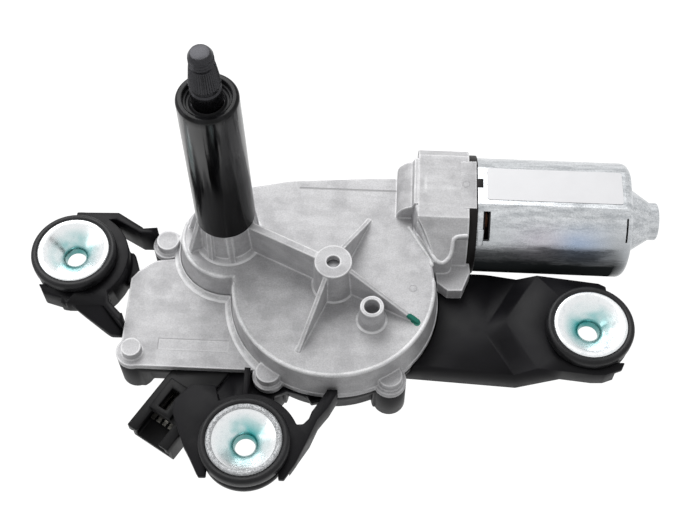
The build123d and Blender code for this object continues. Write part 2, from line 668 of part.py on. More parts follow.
def gear_plan(teeth, module, addendum, dedendum, thin, first, last):
    """Plan of an involute gear, or of a sector of one: teeth first to last, centred on the origin.

    Tooth 0 points along +X. Each flank runs straight down from the base circle to the root.
    """
    pitch_r = teeth * module / 2
    base_r = pitch_r * cos(radians(PRESSURE_ANGLE))
    tip_r, root_r = pitch_r + addendum, pitch_r - dedendum

    def flank_angle(r):
        """Half the tooth's angle at radius r."""
        def involute(r):
            a = acos(min(1.0, base_r / r))
            return tan(a) - a
        half = pi / (2 * teeth) - thin / (2 * pitch_r)
        return half + involute(pitch_r) - involute(max(r, base_r))

    steps = [max(base_r, root_r), (max(base_r, root_r) + pitch_r) / 2, pitch_r, (pitch_r + tip_r) / 2, tip_r]
    points = []
    for tooth in range(first, last + 1):
        centre = 2 * pi * tooth / teeth
        rise = [(r, centre - flank_angle(r)) for r in steps]
        fall = [(r, centre + flank_angle(r)) for r in reversed(steps)]
        for r, a in [(root_r, rise[0][1])] + rise + fall + [(root_r, fall[-1][1])]:
            points.append((r * cos(a), r * sin(a)))
    if last - first + 1 < teeth:
        points.append((0, 0))
    with BuildSketch() as plan:
        with BuildLine():
            Polyline(*points, close=True)
        make_face()
    return plan.sketch


def spindle_pinion():
    """Pinion pressed on the spindle; a gap between two teeth faces the sector."""
    turn = LINK_ANGLE + 180 / PINION_TEETH
    with BuildPart() as pinion:
        with BuildSketch(Plane.XY.offset(GEAR_Z).rotated((0, 0, turn))):
            add(gear_plan(PINION_TEETH, GEAR_MODULE, GEAR_MODULE * TOOTH_ADDENDUM, GEAR_MODULE,
                          BACKLASH, 0, PINION_TEETH - 1))
            Circle(SPINDLE_R, mode=Mode.SUBTRACT)
        extrude(amount=GEAR_T)
    return pinion


def sector_rod():
    """Rod from the crank to the toothed sector, with an eye at each end."""
    with BuildPart() as rod:
        with BuildSketch(Plane(origin=(*SECTOR_AT, GEAR_Z), z_dir=(0, 0, 1)).rotated((0, 0, LINK_ANGLE + 180))):
            add(gear_plan(SECTOR_TEETH, GEAR_MODULE, GEAR_MODULE * TOOTH_ADDENDUM, GEAR_MODULE,
                          BACKLASH, -2, 4))
        extrude(amount=GEAR_T)
        with BuildSketch(Plane(origin=(*SECTOR_AT, GEAR_Z), z_dir=(0, 0, 1)).rotated((0, 0, ROD_ANGLE))):
            with BuildSketch(mode=Mode.PRIVATE) as bar:
                Circle(ROD_HUB_R)
                with Locations((ROD_LENGTH, 0)):
                    Circle(ROD_EYE_R)
                make_hull()
            add(bar.sketch)
        extrude(amount=GEAR_T)
        # Pocket that lightens the bar between its two eyes
        with BuildSketch(Plane(origin=(*SECTOR_AT, GEAR_Z + GEAR_T), z_dir=(0, 0, 1)).rotated((0, 0, ROD_ANGLE))):
            with Locations((ROD_LENGTH / 2 + 0.5, 0)):
                SlotOverall(ROD_LENGTH - ROD_HUB_R - ROD_EYE_R - 3, 6.0)
        extrude(amount=-2.0, mode=Mode.SUBTRACT)
        with BuildSketch(Plane.XY.offset(GEAR_Z)):
            with Locations(SECTOR_AT):
                Circle(LINK_PIN_R + RUN_FIT)
            with Locations(CRANK_AT):
                Circle(CRANK_PIN_R + RUN_FIT)
        extrude(amount=GEAR_T, mode=Mode.SUBTRACT)
    return rod


def link_plate():
    """Steel link that keeps the sector's pin at its distance from the spindle."""
    with BuildPart() as plate:
        with BuildSketch(Plane.XY.offset(LINK_Z)):
            with BuildSketch(mode=Mode.PRIVATE) as outline:
                Circle(SPINDLE_R + 3.2)
                with Locations(SECTOR_AT):
                    Circle(LINK_PIN_R + 3.2)
                make_hull()
            add(outline.sketch)
            Circle(SPINDLE_R + RUN_FIT, mode=Mode.SUBTRACT)
            with Locations(SECTOR_AT):
                Circle(LINK_PIN_R, mode=Mode.SUBTRACT)
        extrude(amount=LINK_T)
    return plate


def wheel_tooth():
    """One slanted tooth of the worm wheel, on +Y of the wheel's centre, sheared to the worm's lead."""
    lead = atan(MODULE / (2 * WORM_R))
    shift = WHEEL_T / 2 * tan(lead)
    half_root = FLANK_HALF + TOOTH_DEDENDUM * FLANK_SLOPE
    half_tip = FLANK_HALF - TOOTH_ADDENDUM * FLANK_SLOPE
    with BuildPart() as tooth:
        with BuildSketch(Plane.XY.offset(WHEEL_Z)):
            with BuildLine():
                Polyline(
                    (shift - half_root, WHEEL_R - TOOTH_DEDENDUM - 0.2),
                    (shift - half_root, WHEEL_R - TOOTH_DEDENDUM),
                    (shift - half_tip, WHEEL_R + TOOTH_ADDENDUM),
                    (shift + half_tip, WHEEL_R + TOOTH_ADDENDUM),
                    (shift + half_root, WHEEL_R - TOOTH_DEDENDUM),
                    (shift + half_root, WHEEL_R - TOOTH_DEDENDUM - 0.2),
                    close=True,
                )
            make_face()
        extrude(amount=WHEEL_T / cos(lead), dir=(-tan(lead), 0, 1))
    return tooth.part


def worm_wheel():
    """Moulded worm wheel: toothed rim, ribbed web and a hub with the crank's recess below."""
    with BuildPart() as wheel:
        with BuildSketch(Plane.XY.offset(WHEEL_Z)):
            with Locations(WHEEL_AT):
                Circle(WHEEL_R - TOOTH_DEDENDUM)
        extrude(amount=WHEEL_T)
        tooth = wheel_tooth()
        with Locations(WHEEL_AT):
            with PolarLocations(0, WHEEL_TEETH):
                add(tooth)
        with BuildSketch(Plane.XY.offset(WHEEL_Z + WHEEL_WEB_T)):
            with Locations(WHEEL_AT):
                Circle(WHEEL_RIM_R)
                Circle(WHEEL_HUB_R, mode=Mode.SUBTRACT)
                with PolarLocations(0, 6):
                    Rectangle(WHEEL_R, 1.8, align=(Align.MIN, Align.CENTER), mode=Mode.SUBTRACT)
        extrude(amount=WHEEL_T, mode=Mode.SUBTRACT)
        with BuildSketch(Plane.XY.offset(WHEEL_Z)):
            with Locations(WHEEL_AT):
                Circle(CRANK_DISC_R)
        extrude(amount=CRANK_DISC_T + 0.5, mode=Mode.SUBTRACT)
        with BuildSketch(Plane.XY.offset(WHEEL_Z)):
            with Locations(WHEEL_AT):
                Circle(WHEEL_SHAFT_R)
        extrude(amount=WHEEL_T, mode=Mode.SUBTRACT)
    return wheel


def crank_shaft():
    """Steel crank moulded into the wheel: shaft up into the boss, disc and pin below."""
    disc_z = WHEEL_Z + 0.5
    with BuildPart() as crank:
        with BuildSketch(Plane.XY.offset(disc_z)):
            with Locations(WHEEL_AT):
                Circle(CRANK_DISC_R)
        extrude(amount=CRANK_DISC_T)
        with BuildSketch(Plane.XY.offset(disc_z)):
            with Locations(WHEEL_AT):
                Circle(WHEEL_SHAFT_R)
        extrude(amount=WHEEL_SHAFT_TOP - disc_z)
        with BuildSketch(Plane.XY.offset(GEAR_Z + GEAR_T + FREE_GAP)):
            with Locations(CRANK_AT):
                Circle(CRANK_PIN_R)
        extrude(amount=disc_z - GEAR_Z - GEAR_T - FREE_GAP)
        chamfer(crank.edges().filter_by(GeomType.CIRCLE).group_by(Axis.Z)[-1], 0.5)
    return crank


def park_disc():
    """Sheet-metal contact disc under the wheel: three tracks, the outer one broken at the park position."""
    with BuildPart() as disc:
        with BuildSketch(Plane.XY.offset(WHEEL_Z - PARK_DISC_T)):
            with Locations(WHEEL_AT):
                Circle(PARK_TRACKS[-1][1])
                Circle(PARK_TRACKS[0][0], mode=Mode.SUBTRACT)
            # Slots between the tracks, bridged at three places
            for (_, inner), (outer, _) in zip(PARK_TRACKS, PARK_TRACKS[1:]):
                middle = (inner + outer) / 2
                for start in (100, 220, 340):
                    with Locations(WHEEL_AT):
                        with BuildSketch(mode=Mode.PRIVATE) as slot:
                            SlotArc(RadiusArc(
                                (middle * cos(radians(start)), middle * sin(radians(start))),
                                (middle * cos(radians(start + 96)), middle * sin(radians(start + 96))),
                                -middle, mode=Mode.PRIVATE), outer - inner)
                        add(slot.sketch, mode=Mode.SUBTRACT)
            # Break of the outer track, which stops the wheel in its park position
            with Locations(WHEEL_AT):
                with BuildSketch(mode=Mode.PRIVATE) as sector:
                    with BuildLine():
                        Polyline((0, 0), (40 * cos(radians(-70)), 40 * sin(radians(-70))),
                                 (40 * cos(radians(-42)), 40 * sin(radians(-42))), close=True)
                    make_face()
                    Circle(PARK_TRACKS[-1][0], mode=Mode.SUBTRACT)
                add(sector.sketch, mode=Mode.SUBTRACT)
        extrude(amount=PARK_DISC_T)
    return disc


def armature_shaft():
    """Motor shaft with the single-start worm on its left end, right-handed like the wheel's teeth."""
    pitch = pi * MODULE
    root, tip = WORM_R - TOOTH_DEDENDUM, WORM_R + TOOTH_ADDENDUM
    half_root = FLANK_HALF + (TOOTH_DEDENDUM + 0.1) * FLANK_SLOPE
    half_tip = FLANK_HALF - TOOTH_ADDENDUM * FLANK_SLOPE
    turns = 2 * int((WORM_LENGTH - 4) / pitch / 2)
    # The helix begins above the shaft; a quarter pitch puts a gap, not a crest, before the wheel's middle
    start = WORM_X - turns * pitch / 2 + pitch / 4
    with BuildPart() as thread:
        with BuildLine() as path:
            Helix(pitch, turns * pitch, root - 0.1, center=(start, MOTOR_Y, MOTOR_Z), direction=(1, 0, 0))
        with BuildSketch(Plane(origin=path.line @ 0, x_dir=(1, 0, 0), z_dir=path.line % 0)):
            with BuildLine():
                Polyline(
                    (-half_root, 0),
                    (-half_tip, tip - root + 0.1),
                    (half_tip, tip - root + 0.1),
                    (half_root, 0),
                    close=True,
                )
            make_face()
        sweep(path=path.line, normal=(1, 0, 0))
    with BuildPart() as shaft:
        for radius, first, last in (
            (SHAFT_R, WORM_BUSH_X - WORM_BUSH_T + FREE_GAP, SHAFT_END),
            (root, WORM_X - WORM_LENGTH / 2, WORM_X + WORM_LENGTH / 2),
        ):
            with BuildSketch(Plane.YZ.offset(first)):
                with Locations((MOTOR_Y, MOTOR_Z)):
                    Circle(radius)
            extrude(amount=last - first)
        add(thread.part)
    return shaft


def armature_core():
    """Stack of laminations with half-closed slots."""
    with BuildPart() as core:
        with BuildSketch(Plane.YZ.offset(ARMATURE_X[0])):
            with Locations((MOTOR_Y, MOTOR_Z)):
                Circle(ARMATURE_R)
                Circle(SHAFT_R, mode=Mode.SUBTRACT)
                with PolarLocations(0, SLOTS):
                    with Locations((SLOT_MIDDLE_R, 0)):
                        Rectangle(*SLOT_SIZE, mode=Mode.SUBTRACT)
                    with Locations((ARMATURE_R - 1, 0)):
                        Rectangle(3.0, 1.6, mode=Mode.SUBTRACT)
        extrude(amount=ARMATURE_X[1] - ARMATURE_X[0])
    return core


def armature_windings():
    """Enamelled windings: a bundle in every slot and a rounded head at each end."""
    with BuildPart() as windings:
        with BuildSketch(Plane.YZ.offset(ARMATURE_X[0] - 2)):
            with Locations((MOTOR_Y, MOTOR_Z)):
                with PolarLocations(0, SLOTS):
                    with Locations((SLOT_MIDDLE_R, 0)):
                        Rectangle(SLOT_SIZE[0] - 2 * LAY_GAP, SLOT_SIZE[1] - 2 * LAY_GAP)
        extrude(amount=ARMATURE_X[1] - ARMATURE_X[0] + 4)
        for first, last in (
            (ARMATURE_X[0] - WINDING_REACH, ARMATURE_X[0] - LAY_GAP),
            (ARMATURE_X[1] + LAY_GAP, ARMATURE_X[1] + WINDING_REACH + 0.5),
        ):
            with BuildSketch(Plane.YZ.offset(first)):
                with Locations((MOTOR_Y, MOTOR_Z)):
                    Circle(WINDING_R)
                    Circle(SHAFT_R + 0.8, mode=Mode.SUBTRACT)
            extrude(amount=last - first)
        ends = windings.edges().filter_by(GeomType.CIRCLE).filter_by(lambda e: e.radius > WINDING_R - 1)
        fillet(ends.group_by(Axis.X)[0] + ends.group_by(Axis.X)[-1], 1.6)
    return windings


def commutator():
    """Copper segments on a moulded core, with risers towards the windings."""
    with BuildPart() as ring_of_bars:
        for radius, first, last in (
            (COMMUTATOR_R, *COMMUTATOR_X),
            (COMMUTATOR_R + 1.0, COMMUTATOR_X[1] - 1.6, COMMUTATOR_X[1]),
        ):
            with BuildSketch(Plane.YZ.offset(first)):
                with Locations((MOTOR_Y, MOTOR_Z)):
                    Circle(radius)
                    Circle(SHAFT_R, mode=Mode.SUBTRACT)
            extrude(amount=last - first)
        with BuildSketch(Plane.YZ.offset(COMMUTATOR_X[0])):
            with Locations((MOTOR_Y, MOTOR_Z)):
                with PolarLocations(0, SLOTS, start_angle=180 / SLOTS):
                    with Locations((COMMUTATOR_R + 0.5, 0)):
                        Rectangle(2.6, 0.5)
        extrude(amount=COMMUTATOR_X[1] - COMMUTATOR_X[0], mode=Mode.SUBTRACT)
    return ring_of_bars


def can_outline(inset=0.0):
    """Draw the can's cross-section in the open sketch: a circle with a flat above and below."""
    with Locations((MOTOR_Y, MOTOR_Z)):
        Circle(CAN_R - inset)
        Rectangle(2 * CAN_R, 2 * (CAN_FLAT - inset), mode=Mode.INTERSECT)


def cup_profile(inset=0.0):
    """Half section of the bearing cup, with its walls moved inwards by inset."""
    start, nub, end = CAN_END - inset - 0.5, CAP_NUB_X - inset, CAP_END - inset
    return [
        (start, MOTOR_Y),
        (start, MOTOR_Y + CAP_R - inset),
        (start + 0.5, MOTOR_Y + CAP_R - inset),
        (nub, MOTOR_Y + CAP_NUB_R - inset),
        (end, MOTOR_Y + CAP_NUB_R - inset),
        (end, MOTOR_Y),
    ]


def motor_can():
    """Deep-drawn can with two flats, the bearing cup in its end and two slots from the press tool."""
    motor_axis = Axis((0, MOTOR_Y, MOTOR_Z), (1, 0, 0))
    with BuildPart() as can:
        with BuildSketch(Plane.YZ.offset(CAN_START)):
            can_outline()
        extrude(amount=CAN_END - CAN_START)
        fillet(can.faces().sort_by(Axis.X)[-1].outer_wire().edges(), 3.0)
        with BuildSketch(Plane.XY.offset(MOTOR_Z)):
            with BuildLine():
                Polyline(*cup_profile(), close=True)
            make_face()
        revolve(axis=motor_axis)
        fillet(can.faces().sort_by(Axis.X)[-1].outer_wire().edges(), 0.8)
        with BuildSketch(Plane.YZ.offset(CAN_START)):
            can_outline(CAN_WALL)
        extrude(amount=CAN_END - CAN_WALL - CAN_START, mode=Mode.SUBTRACT)
        with BuildSketch(Plane.XY.offset(MOTOR_Z)):
            with BuildLine():
                Polyline(*cup_profile(CAN_WALL), close=True)
            make_face()
        revolve(axis=motor_axis, mode=Mode.SUBTRACT)
        for middle, half, first, last in CAN_SLOTS:
            with BuildSketch(Plane.YZ.offset(middle - half)):
                with BuildLine():
                    Polyline((MOTOR_Y, MOTOR_Z), *[
                        (MOTOR_Y - 30 * sin(radians(a)), MOTOR_Z + 30 * cos(radians(a))) for a in (first, last)
                    ], close=True)
                make_face()
            extrude(amount=2 * half, mode=Mode.SUBTRACT)
    return can


def magnet(side):
    """Ferrite arc on the can's wall, on the side of +Y or -Y."""
    outer = ARMATURE_R + AIR_GAP + MAGNET_T
    half = radians(MAGNET_SPAN / 2)
    with BuildPart() as arc:
        with BuildSketch(Plane.YZ.offset(ARMATURE_X[0])):
            with BuildSketch(mode=Mode.PRIVATE) as wedge:
                with BuildLine():
                    Polyline((0, 0), (side * 40 * cos(half), 40 * sin(half)), (side * 40 * cos(half), -40 * sin(half)),
                             close=True)
                make_face()
            with Locations((MOTOR_Y, MOTOR_Z)):
                Circle(outer)
                Circle(ARMATURE_R + AIR_GAP, mode=Mode.SUBTRACT)
                add(wedge.sketch, mode=Mode.INTERSECT)
        extrude(amount=ARMATURE_X[1] - ARMATURE_X[0] + 2)
    return arc


def brush_holder():
    """Moulded holder between neck and can: flange, spigot in the can, skirt in the neck, two brush boxes."""
    with BuildPart() as holder:
        with BuildSketch(Plane.YZ.offset(NECK_END)):
            with Locations((MOTOR_Y, MOTOR_Z)):
                Circle(FLANGE_R)
                Rectangle(3 * CAN_R, 2 * CAN_FLAT, mode=Mode.INTERSECT)
        extrude(amount=HOLDER_T)
        with BuildSketch(Plane.YZ.offset(CAN_START)):
            can_outline(CAN_WALL + LAY_GAP)
        extrude(amount=3.0)
        with BuildSketch(Plane.YZ.offset(HOLDER_START)):
            with Locations((MOTOR_Y, MOTOR_Z)):
                Circle(NECK_BORE_R - LAY_GAP)
        extrude(amount=NECK_END - HOLDER_START)
        with BuildSketch(Plane.YZ.offset(HOLDER_START)):
            with Locations((MOTOR_Y, MOTOR_Z)):
                Circle(NECK_BORE_R - LAY_GAP - 2.0)
        extrude(amount=CAN_START - 1.0 - HOLDER_START, mode=Mode.SUBTRACT)
        with BuildSketch(Plane.YZ.offset(CAN_START - 1.0)):
            with Locations((MOTOR_Y, MOTOR_Z)):
                Circle(COMMUTATOR_R + 8.5)
        extrude(amount=4.0, mode=Mode.SUBTRACT)
        # Disc that closes the can behind the boxes, open round the commutator
        with BuildSketch(Plane.YZ.offset(NECK_END - 0.5)):
            with Locations((MOTOR_Y, MOTOR_Z)):
                Circle(NECK_BORE_R - 1.0)
                Circle(COMMUTATOR_R + 2.0, mode=Mode.SUBTRACT)
        extrude(amount=2.0)
        length, width, _ = BRUSH
        with BuildSketch(Plane.YZ.offset(BRUSH_X - length / 2 - 1.5)):
            for side in (-1, 1):
                with Locations((MOTOR_Y, MOTOR_Z + side * (COMMUTATOR_R + NECK_BORE_R) / 2)):
                    Rectangle(width + 3.0, NECK_BORE_R - COMMUTATOR_R - 2.4)
        extrude(amount=NECK_END - BRUSH_X + length / 2 + 1.5)
        with BuildSketch(Plane.YZ.offset(BRUSH_X - length / 2 - LAY_GAP)):
            with Locations((MOTOR_Y, MOTOR_Z)):
                Rectangle(width + 2 * LAY_GAP, 2 * (NECK_BORE_R - 2.6))
        extrude(amount=length + 2 * LAY_GAP, mode=Mode.SUBTRACT)
    return holder


def brush(side):
    """Carbon brush above or below the commutator."""
    length, width, height = BRUSH
    low = MOTOR_Z + side * (COMMUTATOR_R + FREE_GAP)
    with BuildPart() as block:
        with Locations((BRUSH_X, MOTOR_Y, low)):
            Box(length, width, height, align=(Align.CENTER, Align.CENTER, Align.MIN if side > 0 else Align.MAX))
    return block


def brush_springs():
    """Two coil springs that press on the brushes' backs."""
    low = COMMUTATOR_R + FREE_GAP + BRUSH[2] + 0.35
    length = NECK_BORE_R - 2.6 - low - 0.4
    with BuildPart() as springs:
        for side in (-1, 1):
            with BuildPart(mode=Mode.PRIVATE) as coil:
                with BuildLine() as path:
                    Helix(length / 3, length, 1.7, center=(BRUSH_X, MOTOR_Y, MOTOR_Z + side * low),
                          direction=(0, 0, side))
                with BuildSketch(Plane(origin=path.line @ 0, z_dir=path.line % 0)):
                    Circle(0.3)
                sweep(path=path.line)
            add(coil.part)
    return springs


def label_plate():
    """Blank label on the can's upper flat."""
    with BuildPart() as label:
        with BuildSketch(Plane.XY.offset(MOTOR_Z + CAN_FLAT)):
            with Locations(((LABEL_X[0] + LABEL_X[1]) / 2, (LABEL_Y[0] + LABEL_Y[1]) / 2)):
                RectangleRounded(LABEL_X[1] - LABEL_X[0], LABEL_Y[1] - LABEL_Y[0], 1.0)
        extrude(amount=0.2)
    return label


def prism(corners, low, high):
    """Upright prism over a polygon."""
    with BuildPart() as solid:
        with BuildSketch(Plane.XY.offset(low)):
            with BuildLine():
                Polyline(*corners, close=True)
            make_face()
        extrude(amount=high - low)
    return solid.part


def eye_slot(name, radius, reach=40.0):
    """Plan of an eye's slot: round at the eye's centre and open outwards."""
    centre, angle = EYES[name]
    with BuildSketch() as slot:
        with Locations(centre):
            Circle(radius)
        with Locations(Pos(*centre) * Rot(0, 0, angle)):
            Rectangle(reach, 2 * radius, align=(Align.MIN, Align.CENTER))
    return slot.sketch


def arm(name, outlines, ring_r, foot):
    """Arm of the cover: a plate at the fork's height with walls below its edge and the eye's open slot."""
    with BuildSketch() as plan:
        for corners in outlines:
            with BuildLine():
                Polyline(*corners, close=True)
            make_face()
        centre, angle = EYES[name]
        with BuildSketch(mode=Mode.PRIVATE) as ring_part:
            Circle(ring_r)
            with Locations((2.5, 0)):
                Rectangle(3 * ring_r, 3 * ring_r, align=(Align.MAX, Align.CENTER), mode=Mode.INTERSECT)
        add(Pos(*centre) * Rot(0, 0, angle) * ring_part.sketch)
    with BuildSketch() as inside:
        add(plan.sketch)
        offset(amount=-ARM_WALL, mode=Mode.REPLACE)
    with BuildPart() as piece:
        with BuildSketch(Plane.XY.offset(foot)):
            add(plan.sketch)
        extrude(amount=FORK_TOP - foot)
        with BuildSketch(Plane.XY.offset(foot)):
            add(inside.sketch)
        extrude(amount=FORK_TOP - FORK_T - foot, mode=Mode.SUBTRACT)
        with BuildSketch(Plane.XY.offset(FORK_TOP - FORK_T)):
            add(eye_slot(name, GROOVE_R + SLOT_GAP))
        extrude(amount=FORK_T, mode=Mode.SUBTRACT)
        with BuildSketch(Plane.XY.offset(foot)):
            add(eye_slot(name, GROMMET_R))
        extrude(amount=FORK_TOP - FORK_T - foot, mode=Mode.SUBTRACT)
    return piece.part


def hood_prism(across, along, low, high):
    """Upright block in the connector's own frame."""
    with BuildPart() as block:
        with BuildSketch(HOOD_FRAME.offset(low)):
            with Locations(((along[0] + along[1]) / 2, -(across[0] + across[1]) / 2)):
                Rectangle(along[1] - along[0], across[1] - across[0])
        extrude(amount=high - low)
    return block.part


def below(edge, plane, reach):
    """What lies below an arm's lower edge, seen along the arm's side."""
    with BuildPart() as room:
        with BuildSketch(plane):
            with BuildLine():
                Polyline(*edge, (edge[-1][0], -1), (edge[0][0], -1), close=True)
            make_face()
        extrude(amount=reach, both=True)
    return room.part


def left_arm_form():
    """Left arm, from the cover's rim to the left eye: two thin walls, the ring and a low bridge."""
    with BuildPart() as piece:
        add(arm("left", (LEFT_UPPER_ARM, LEFT_LOWER_ARM), LEFT_RING_R, LEFT_FOOT))
        add(below(LEFT_RISE, Plane.XZ, 60), mode=Mode.SUBTRACT)
        add(prism(LEFT_BRIDGE, LEFT_FOOT, COVER_TOP))
        with BuildSketch(Plane.XY.offset(LEFT_FOOT)):
            add(eye_slot("left", LEFT_RING_R - ARM_WALL))
        extrude(amount=FORK_TOP - FORK_T - 4.0 - LEFT_FOOT, mode=Mode.SUBTRACT)
    return piece.part


def right_arm_form():
    """Right arm: low plate beside the motor, a ramp with a pointed crease, then the eye's plate."""
    ramp = []
    for crease, z in ((RIGHT_CREASE_LOW, ARM_TOP), (RIGHT_CREASE_HIGH, FORK_TOP)):
        with BuildSketch(Plane.XY.offset(z)) as level:
            with BuildLine():
                Polyline((50, 10), (crease[0][0], 10), *crease, (crease[2][0], -60), (50, -60), close=True)
            make_face()
        ramp.append(level.sketch)
    with BuildPart() as above:
        loft(sections=ramp, ruled=True)
    with BuildSketch() as plan:
        with BuildLine():
            Polyline(*RIGHT_ARM, close=True)
        make_face()
    with BuildSketch() as inside:
        add(plan.sketch)
        offset(amount=-ARM_WALL, mode=Mode.REPLACE)
    with BuildPart() as hollow:
        with BuildSketch(Plane.XY.offset(RIGHT_FOOT)):
            add(inside.sketch)
        extrude(amount=FORK_TOP - FORK_T - RIGHT_FOOT)
        add(Pos(0, 0, -FORK_T) * above.part, mode=Mode.SUBTRACT)
    with BuildPart() as piece:
        with BuildSketch(Plane.XY.offset(RIGHT_FOOT)):
            add(plan.sketch)
        extrude(amount=FORK_TOP - RIGHT_FOOT)
        add(above.part, mode=Mode.SUBTRACT)
        add(hollow.part, mode=Mode.SUBTRACT)
        # Ribs under the low plate
        for x, y, length, width in RIGHT_RIBS:
            with BuildSketch(Plane.XY.offset(RIGHT_FOOT + 1.5)):
                with Locations((x, y)):
                    Rectangle(length, width)
            extrude(amount=ARM_TOP - FORK_T - RIGHT_FOOT - 1.4)
        # The walls' lower edge rises towards the eye
        with BuildSketch(Plane.XZ.offset(60)):
            with BuildLine():
                Polyline((105.7, RIGHT_FOOT - 1), (105.7, RIGHT_FOOT), (120.0, 15.0), (150.0, 15.0),
                         (150.0, RIGHT_FOOT - 1), close=True)
            make_face()
        extrude(amount=-70, mode=Mode.SUBTRACT)
        with BuildSketch(Plane.XY.offset(FORK_TOP - FORK_T)):
            add(eye_slot("right", GROOVE_R + SLOT_GAP))
        extrude(amount=FORK_T, mode=Mode.SUBTRACT)
        with BuildSketch(Plane.XY.offset(RIGHT_FOOT)):
            add(eye_slot("right", GROMMET_R))
        extrude(amount=FORK_TOP - FORK_T - RIGHT_FOOT, mode=Mode.SUBTRACT)
    return piece.part


def bottom_arm_form():
    """Bottom arm: two struts and the ring, tied to the cover's rim by a plate and a rib."""
    with BuildPart() as piece:
        add(arm("bottom", (BOTTOM_LEFT_STRUT, BOTTOM_RIGHT_STRUT), BOTTOM_RING_R, BOTTOM_FOOT))
        plate_z = COVER_TOP - COVER_RIM
        add(prism(BOTTOM_PLATE, plate_z, COVER_TOP))
        with BuildSketch(Plane.XY.offset(plate_z)):
            with Locations((BOTTOM_RIB_X, -53.0)):
                Rectangle(2.0, 11.0)
        extrude(amount=FORK_TOP - FORK_T - plate_z + 0.1)
        with BuildSketch(Plane.XY.offset(plate_z)):
            add(eye_slot("bottom", BOTTOM_RING_R - ARM_WALL))
        extrude(amount=FORK_TOP - FORK_T - plate_z - 4.0, mode=Mode.SUBTRACT)
        add(below(BOTTOM_RISE, Plane.YZ, 60), mode=Mode.SUBTRACT)
    return piece.part


def pocket_plan():
    """Plan of the tray's pocket: the gearbox outline moved inwards, less the bosses of the screws."""
    with BuildSketch() as plan:
        add(footprint(TRAY_INSIDE))
        for x, y, _ in SCREWS:
            with Locations((x, y)):
                Circle(COVER_BOSS_R, mode=Mode.SUBTRACT)
    return plan.sketch


def worm_room():
    """Room for the worm, which reaches below the split line."""
    return motor_ring(0, WORM_R + TOOTH_ADDENDUM + FREE_GAP, WORM_X - WORM_LENGTH / 2 - 1, WORM_X + WORM_LENGTH / 2 + 1).part


def tray_block():
    """Outer form of the cover's tray: its body, the bosses of the screws and the rim."""
    with BuildPart() as block:
        with BuildSketch():
            add(footprint(-COVER_INSET))
        extrude(amount=COVER_TOP)
        with BuildSketch():
            for x, y, _ in SCREWS:
                with Locations((x, y)):
                    Circle(COVER_BOSS_R)
            add(rim_plan(), mode=Mode.INTERSECT)
        extrude(amount=COVER_TOP)
        with BuildSketch(Plane.XY.offset(COVER_TOP - COVER_RIM)):
            add(rim_plan())
        extrude(amount=COVER_RIM)
    return block.part


def cover_cuts():
    """What is open in the cover: its pocket, the motor's room, screw holes and the way in for the connector."""
    with BuildPart() as cuts:
        with BuildSketch(Plane.XY.offset(COVER_FLOOR)):
            add(pocket_plan())
        extrude(amount=FORK_TOP)
        add(worm_room())
        with BuildSketch(Plane.YZ.offset(NECK_X - FREE_GAP)):
            with Locations((MOTOR_Y, MOTOR_Z)):
                Circle(NECK_R + FREE_GAP)
        extrude(amount=CAN_END)
        for x, y in screw_places():
            with BuildSketch():
                with Locations((x, y)):
                    Circle(SCREW_R + FREE_GAP)
            extrude(amount=FORK_TOP)
        # Room for the heads inside the bosses
        for x, y, z in screw_seats():
            with BuildSketch():
                with Locations((x, y)):
                    Circle(SCREW_HEAD_R + FREE_GAP + 0.3)
            extrude(amount=z)
        add(hood_prism((2.0, HOOD_WIDTH - 2.0), (26.0, 42.0), *TONGUE))
    return cuts.part


def rear_cover():
    """Plastic tray that closes the gearbox, with its rim and screw bosses."""
    with BuildPart() as cover:
        add(tray_block())
        add(cover_cuts(), mode=Mode.SUBTRACT)
    return cover


def cover_arm(form):
    """Arm moulded on the tray, clear of the housing's flange, the connector and the motor."""
    with BuildPart() as piece:
        add(form)
        with BuildSketch(Plane.XY.offset(COVER_TOP)):
            add(rim_plan(FREE_GAP))
        extrude(amount=FORK_TOP, mode=Mode.SUBTRACT)
        w, s = (-FREE_GAP, HOOD_WIDTH + FREE_GAP), (-5, 50)
        add(hood_prism(w, s, 0, HOOD_TOP + FREE_GAP), mode=Mode.SUBTRACT)
        w, s = (LATCH[0] - FREE_GAP, LATCH[1] + FREE_GAP), (LATCH[2] - FREE_GAP, LATCH[3] + FREE_GAP)
        add(hood_prism(w, s, 0, LATCH_TOP + FREE_GAP), mode=Mode.SUBTRACT)
        add(tray_block(), mode=Mode.SUBTRACT)
        add(cover_cuts(), mode=Mode.SUBTRACT)
    with BuildPart() as whole:
        add(piece.solids().sort_by(SortBy.VOLUME)[-1])
    return whole


def cover_gasket():
    """Flat gasket between the cover's rim and the housing."""
    with BuildPart() as gasket:
        with BuildSketch(Plane.XY.offset(COVER_TOP)):
            add(rim_plan())
            add(pocket_plan(), mode=Mode.SUBTRACT)
            for x, y, _ in SCREWS:
                with Locations((x, y)):
                    Circle(SCREW_R + FREE_GAP, mode=Mode.SUBTRACT)
            with Locations((NECK_X - FREE_GAP, MOTOR_Y)):
                Rectangle(10, 60, align=(Align.MIN, Align.CENTER), mode=Mode.SUBTRACT)
        extrude(amount=GASKET_T)
        add(worm_room(), mode=Mode.SUBTRACT)
    return gasket


def cover_screws():
    """Five thread-forming screws: four under the rim and one through the right arm."""
    with BuildPart() as screws:
        for x, y, z in screw_seats():
            with BuildSketch(Plane.XY.offset(z)):
                with Locations((x, y)):
                    Circle(SCREW_HEAD_R)
            extrude(amount=-SCREW_HEAD_T)
            with BuildSketch(Plane.XY.offset(z - SCREW_HEAD_T)):
                with Locations((x, y)):
                    RegularPolygon(1.5, 6)
            extrude(amount=1.5, mode=Mode.SUBTRACT)
            with BuildSketch(Plane.XY.offset(z)):
                with Locations((x, y)):
                    Circle(SCREW_R - LAY_GAP)
            extrude(amount=BOSS_TOP - 2.5 - z)
    return screws


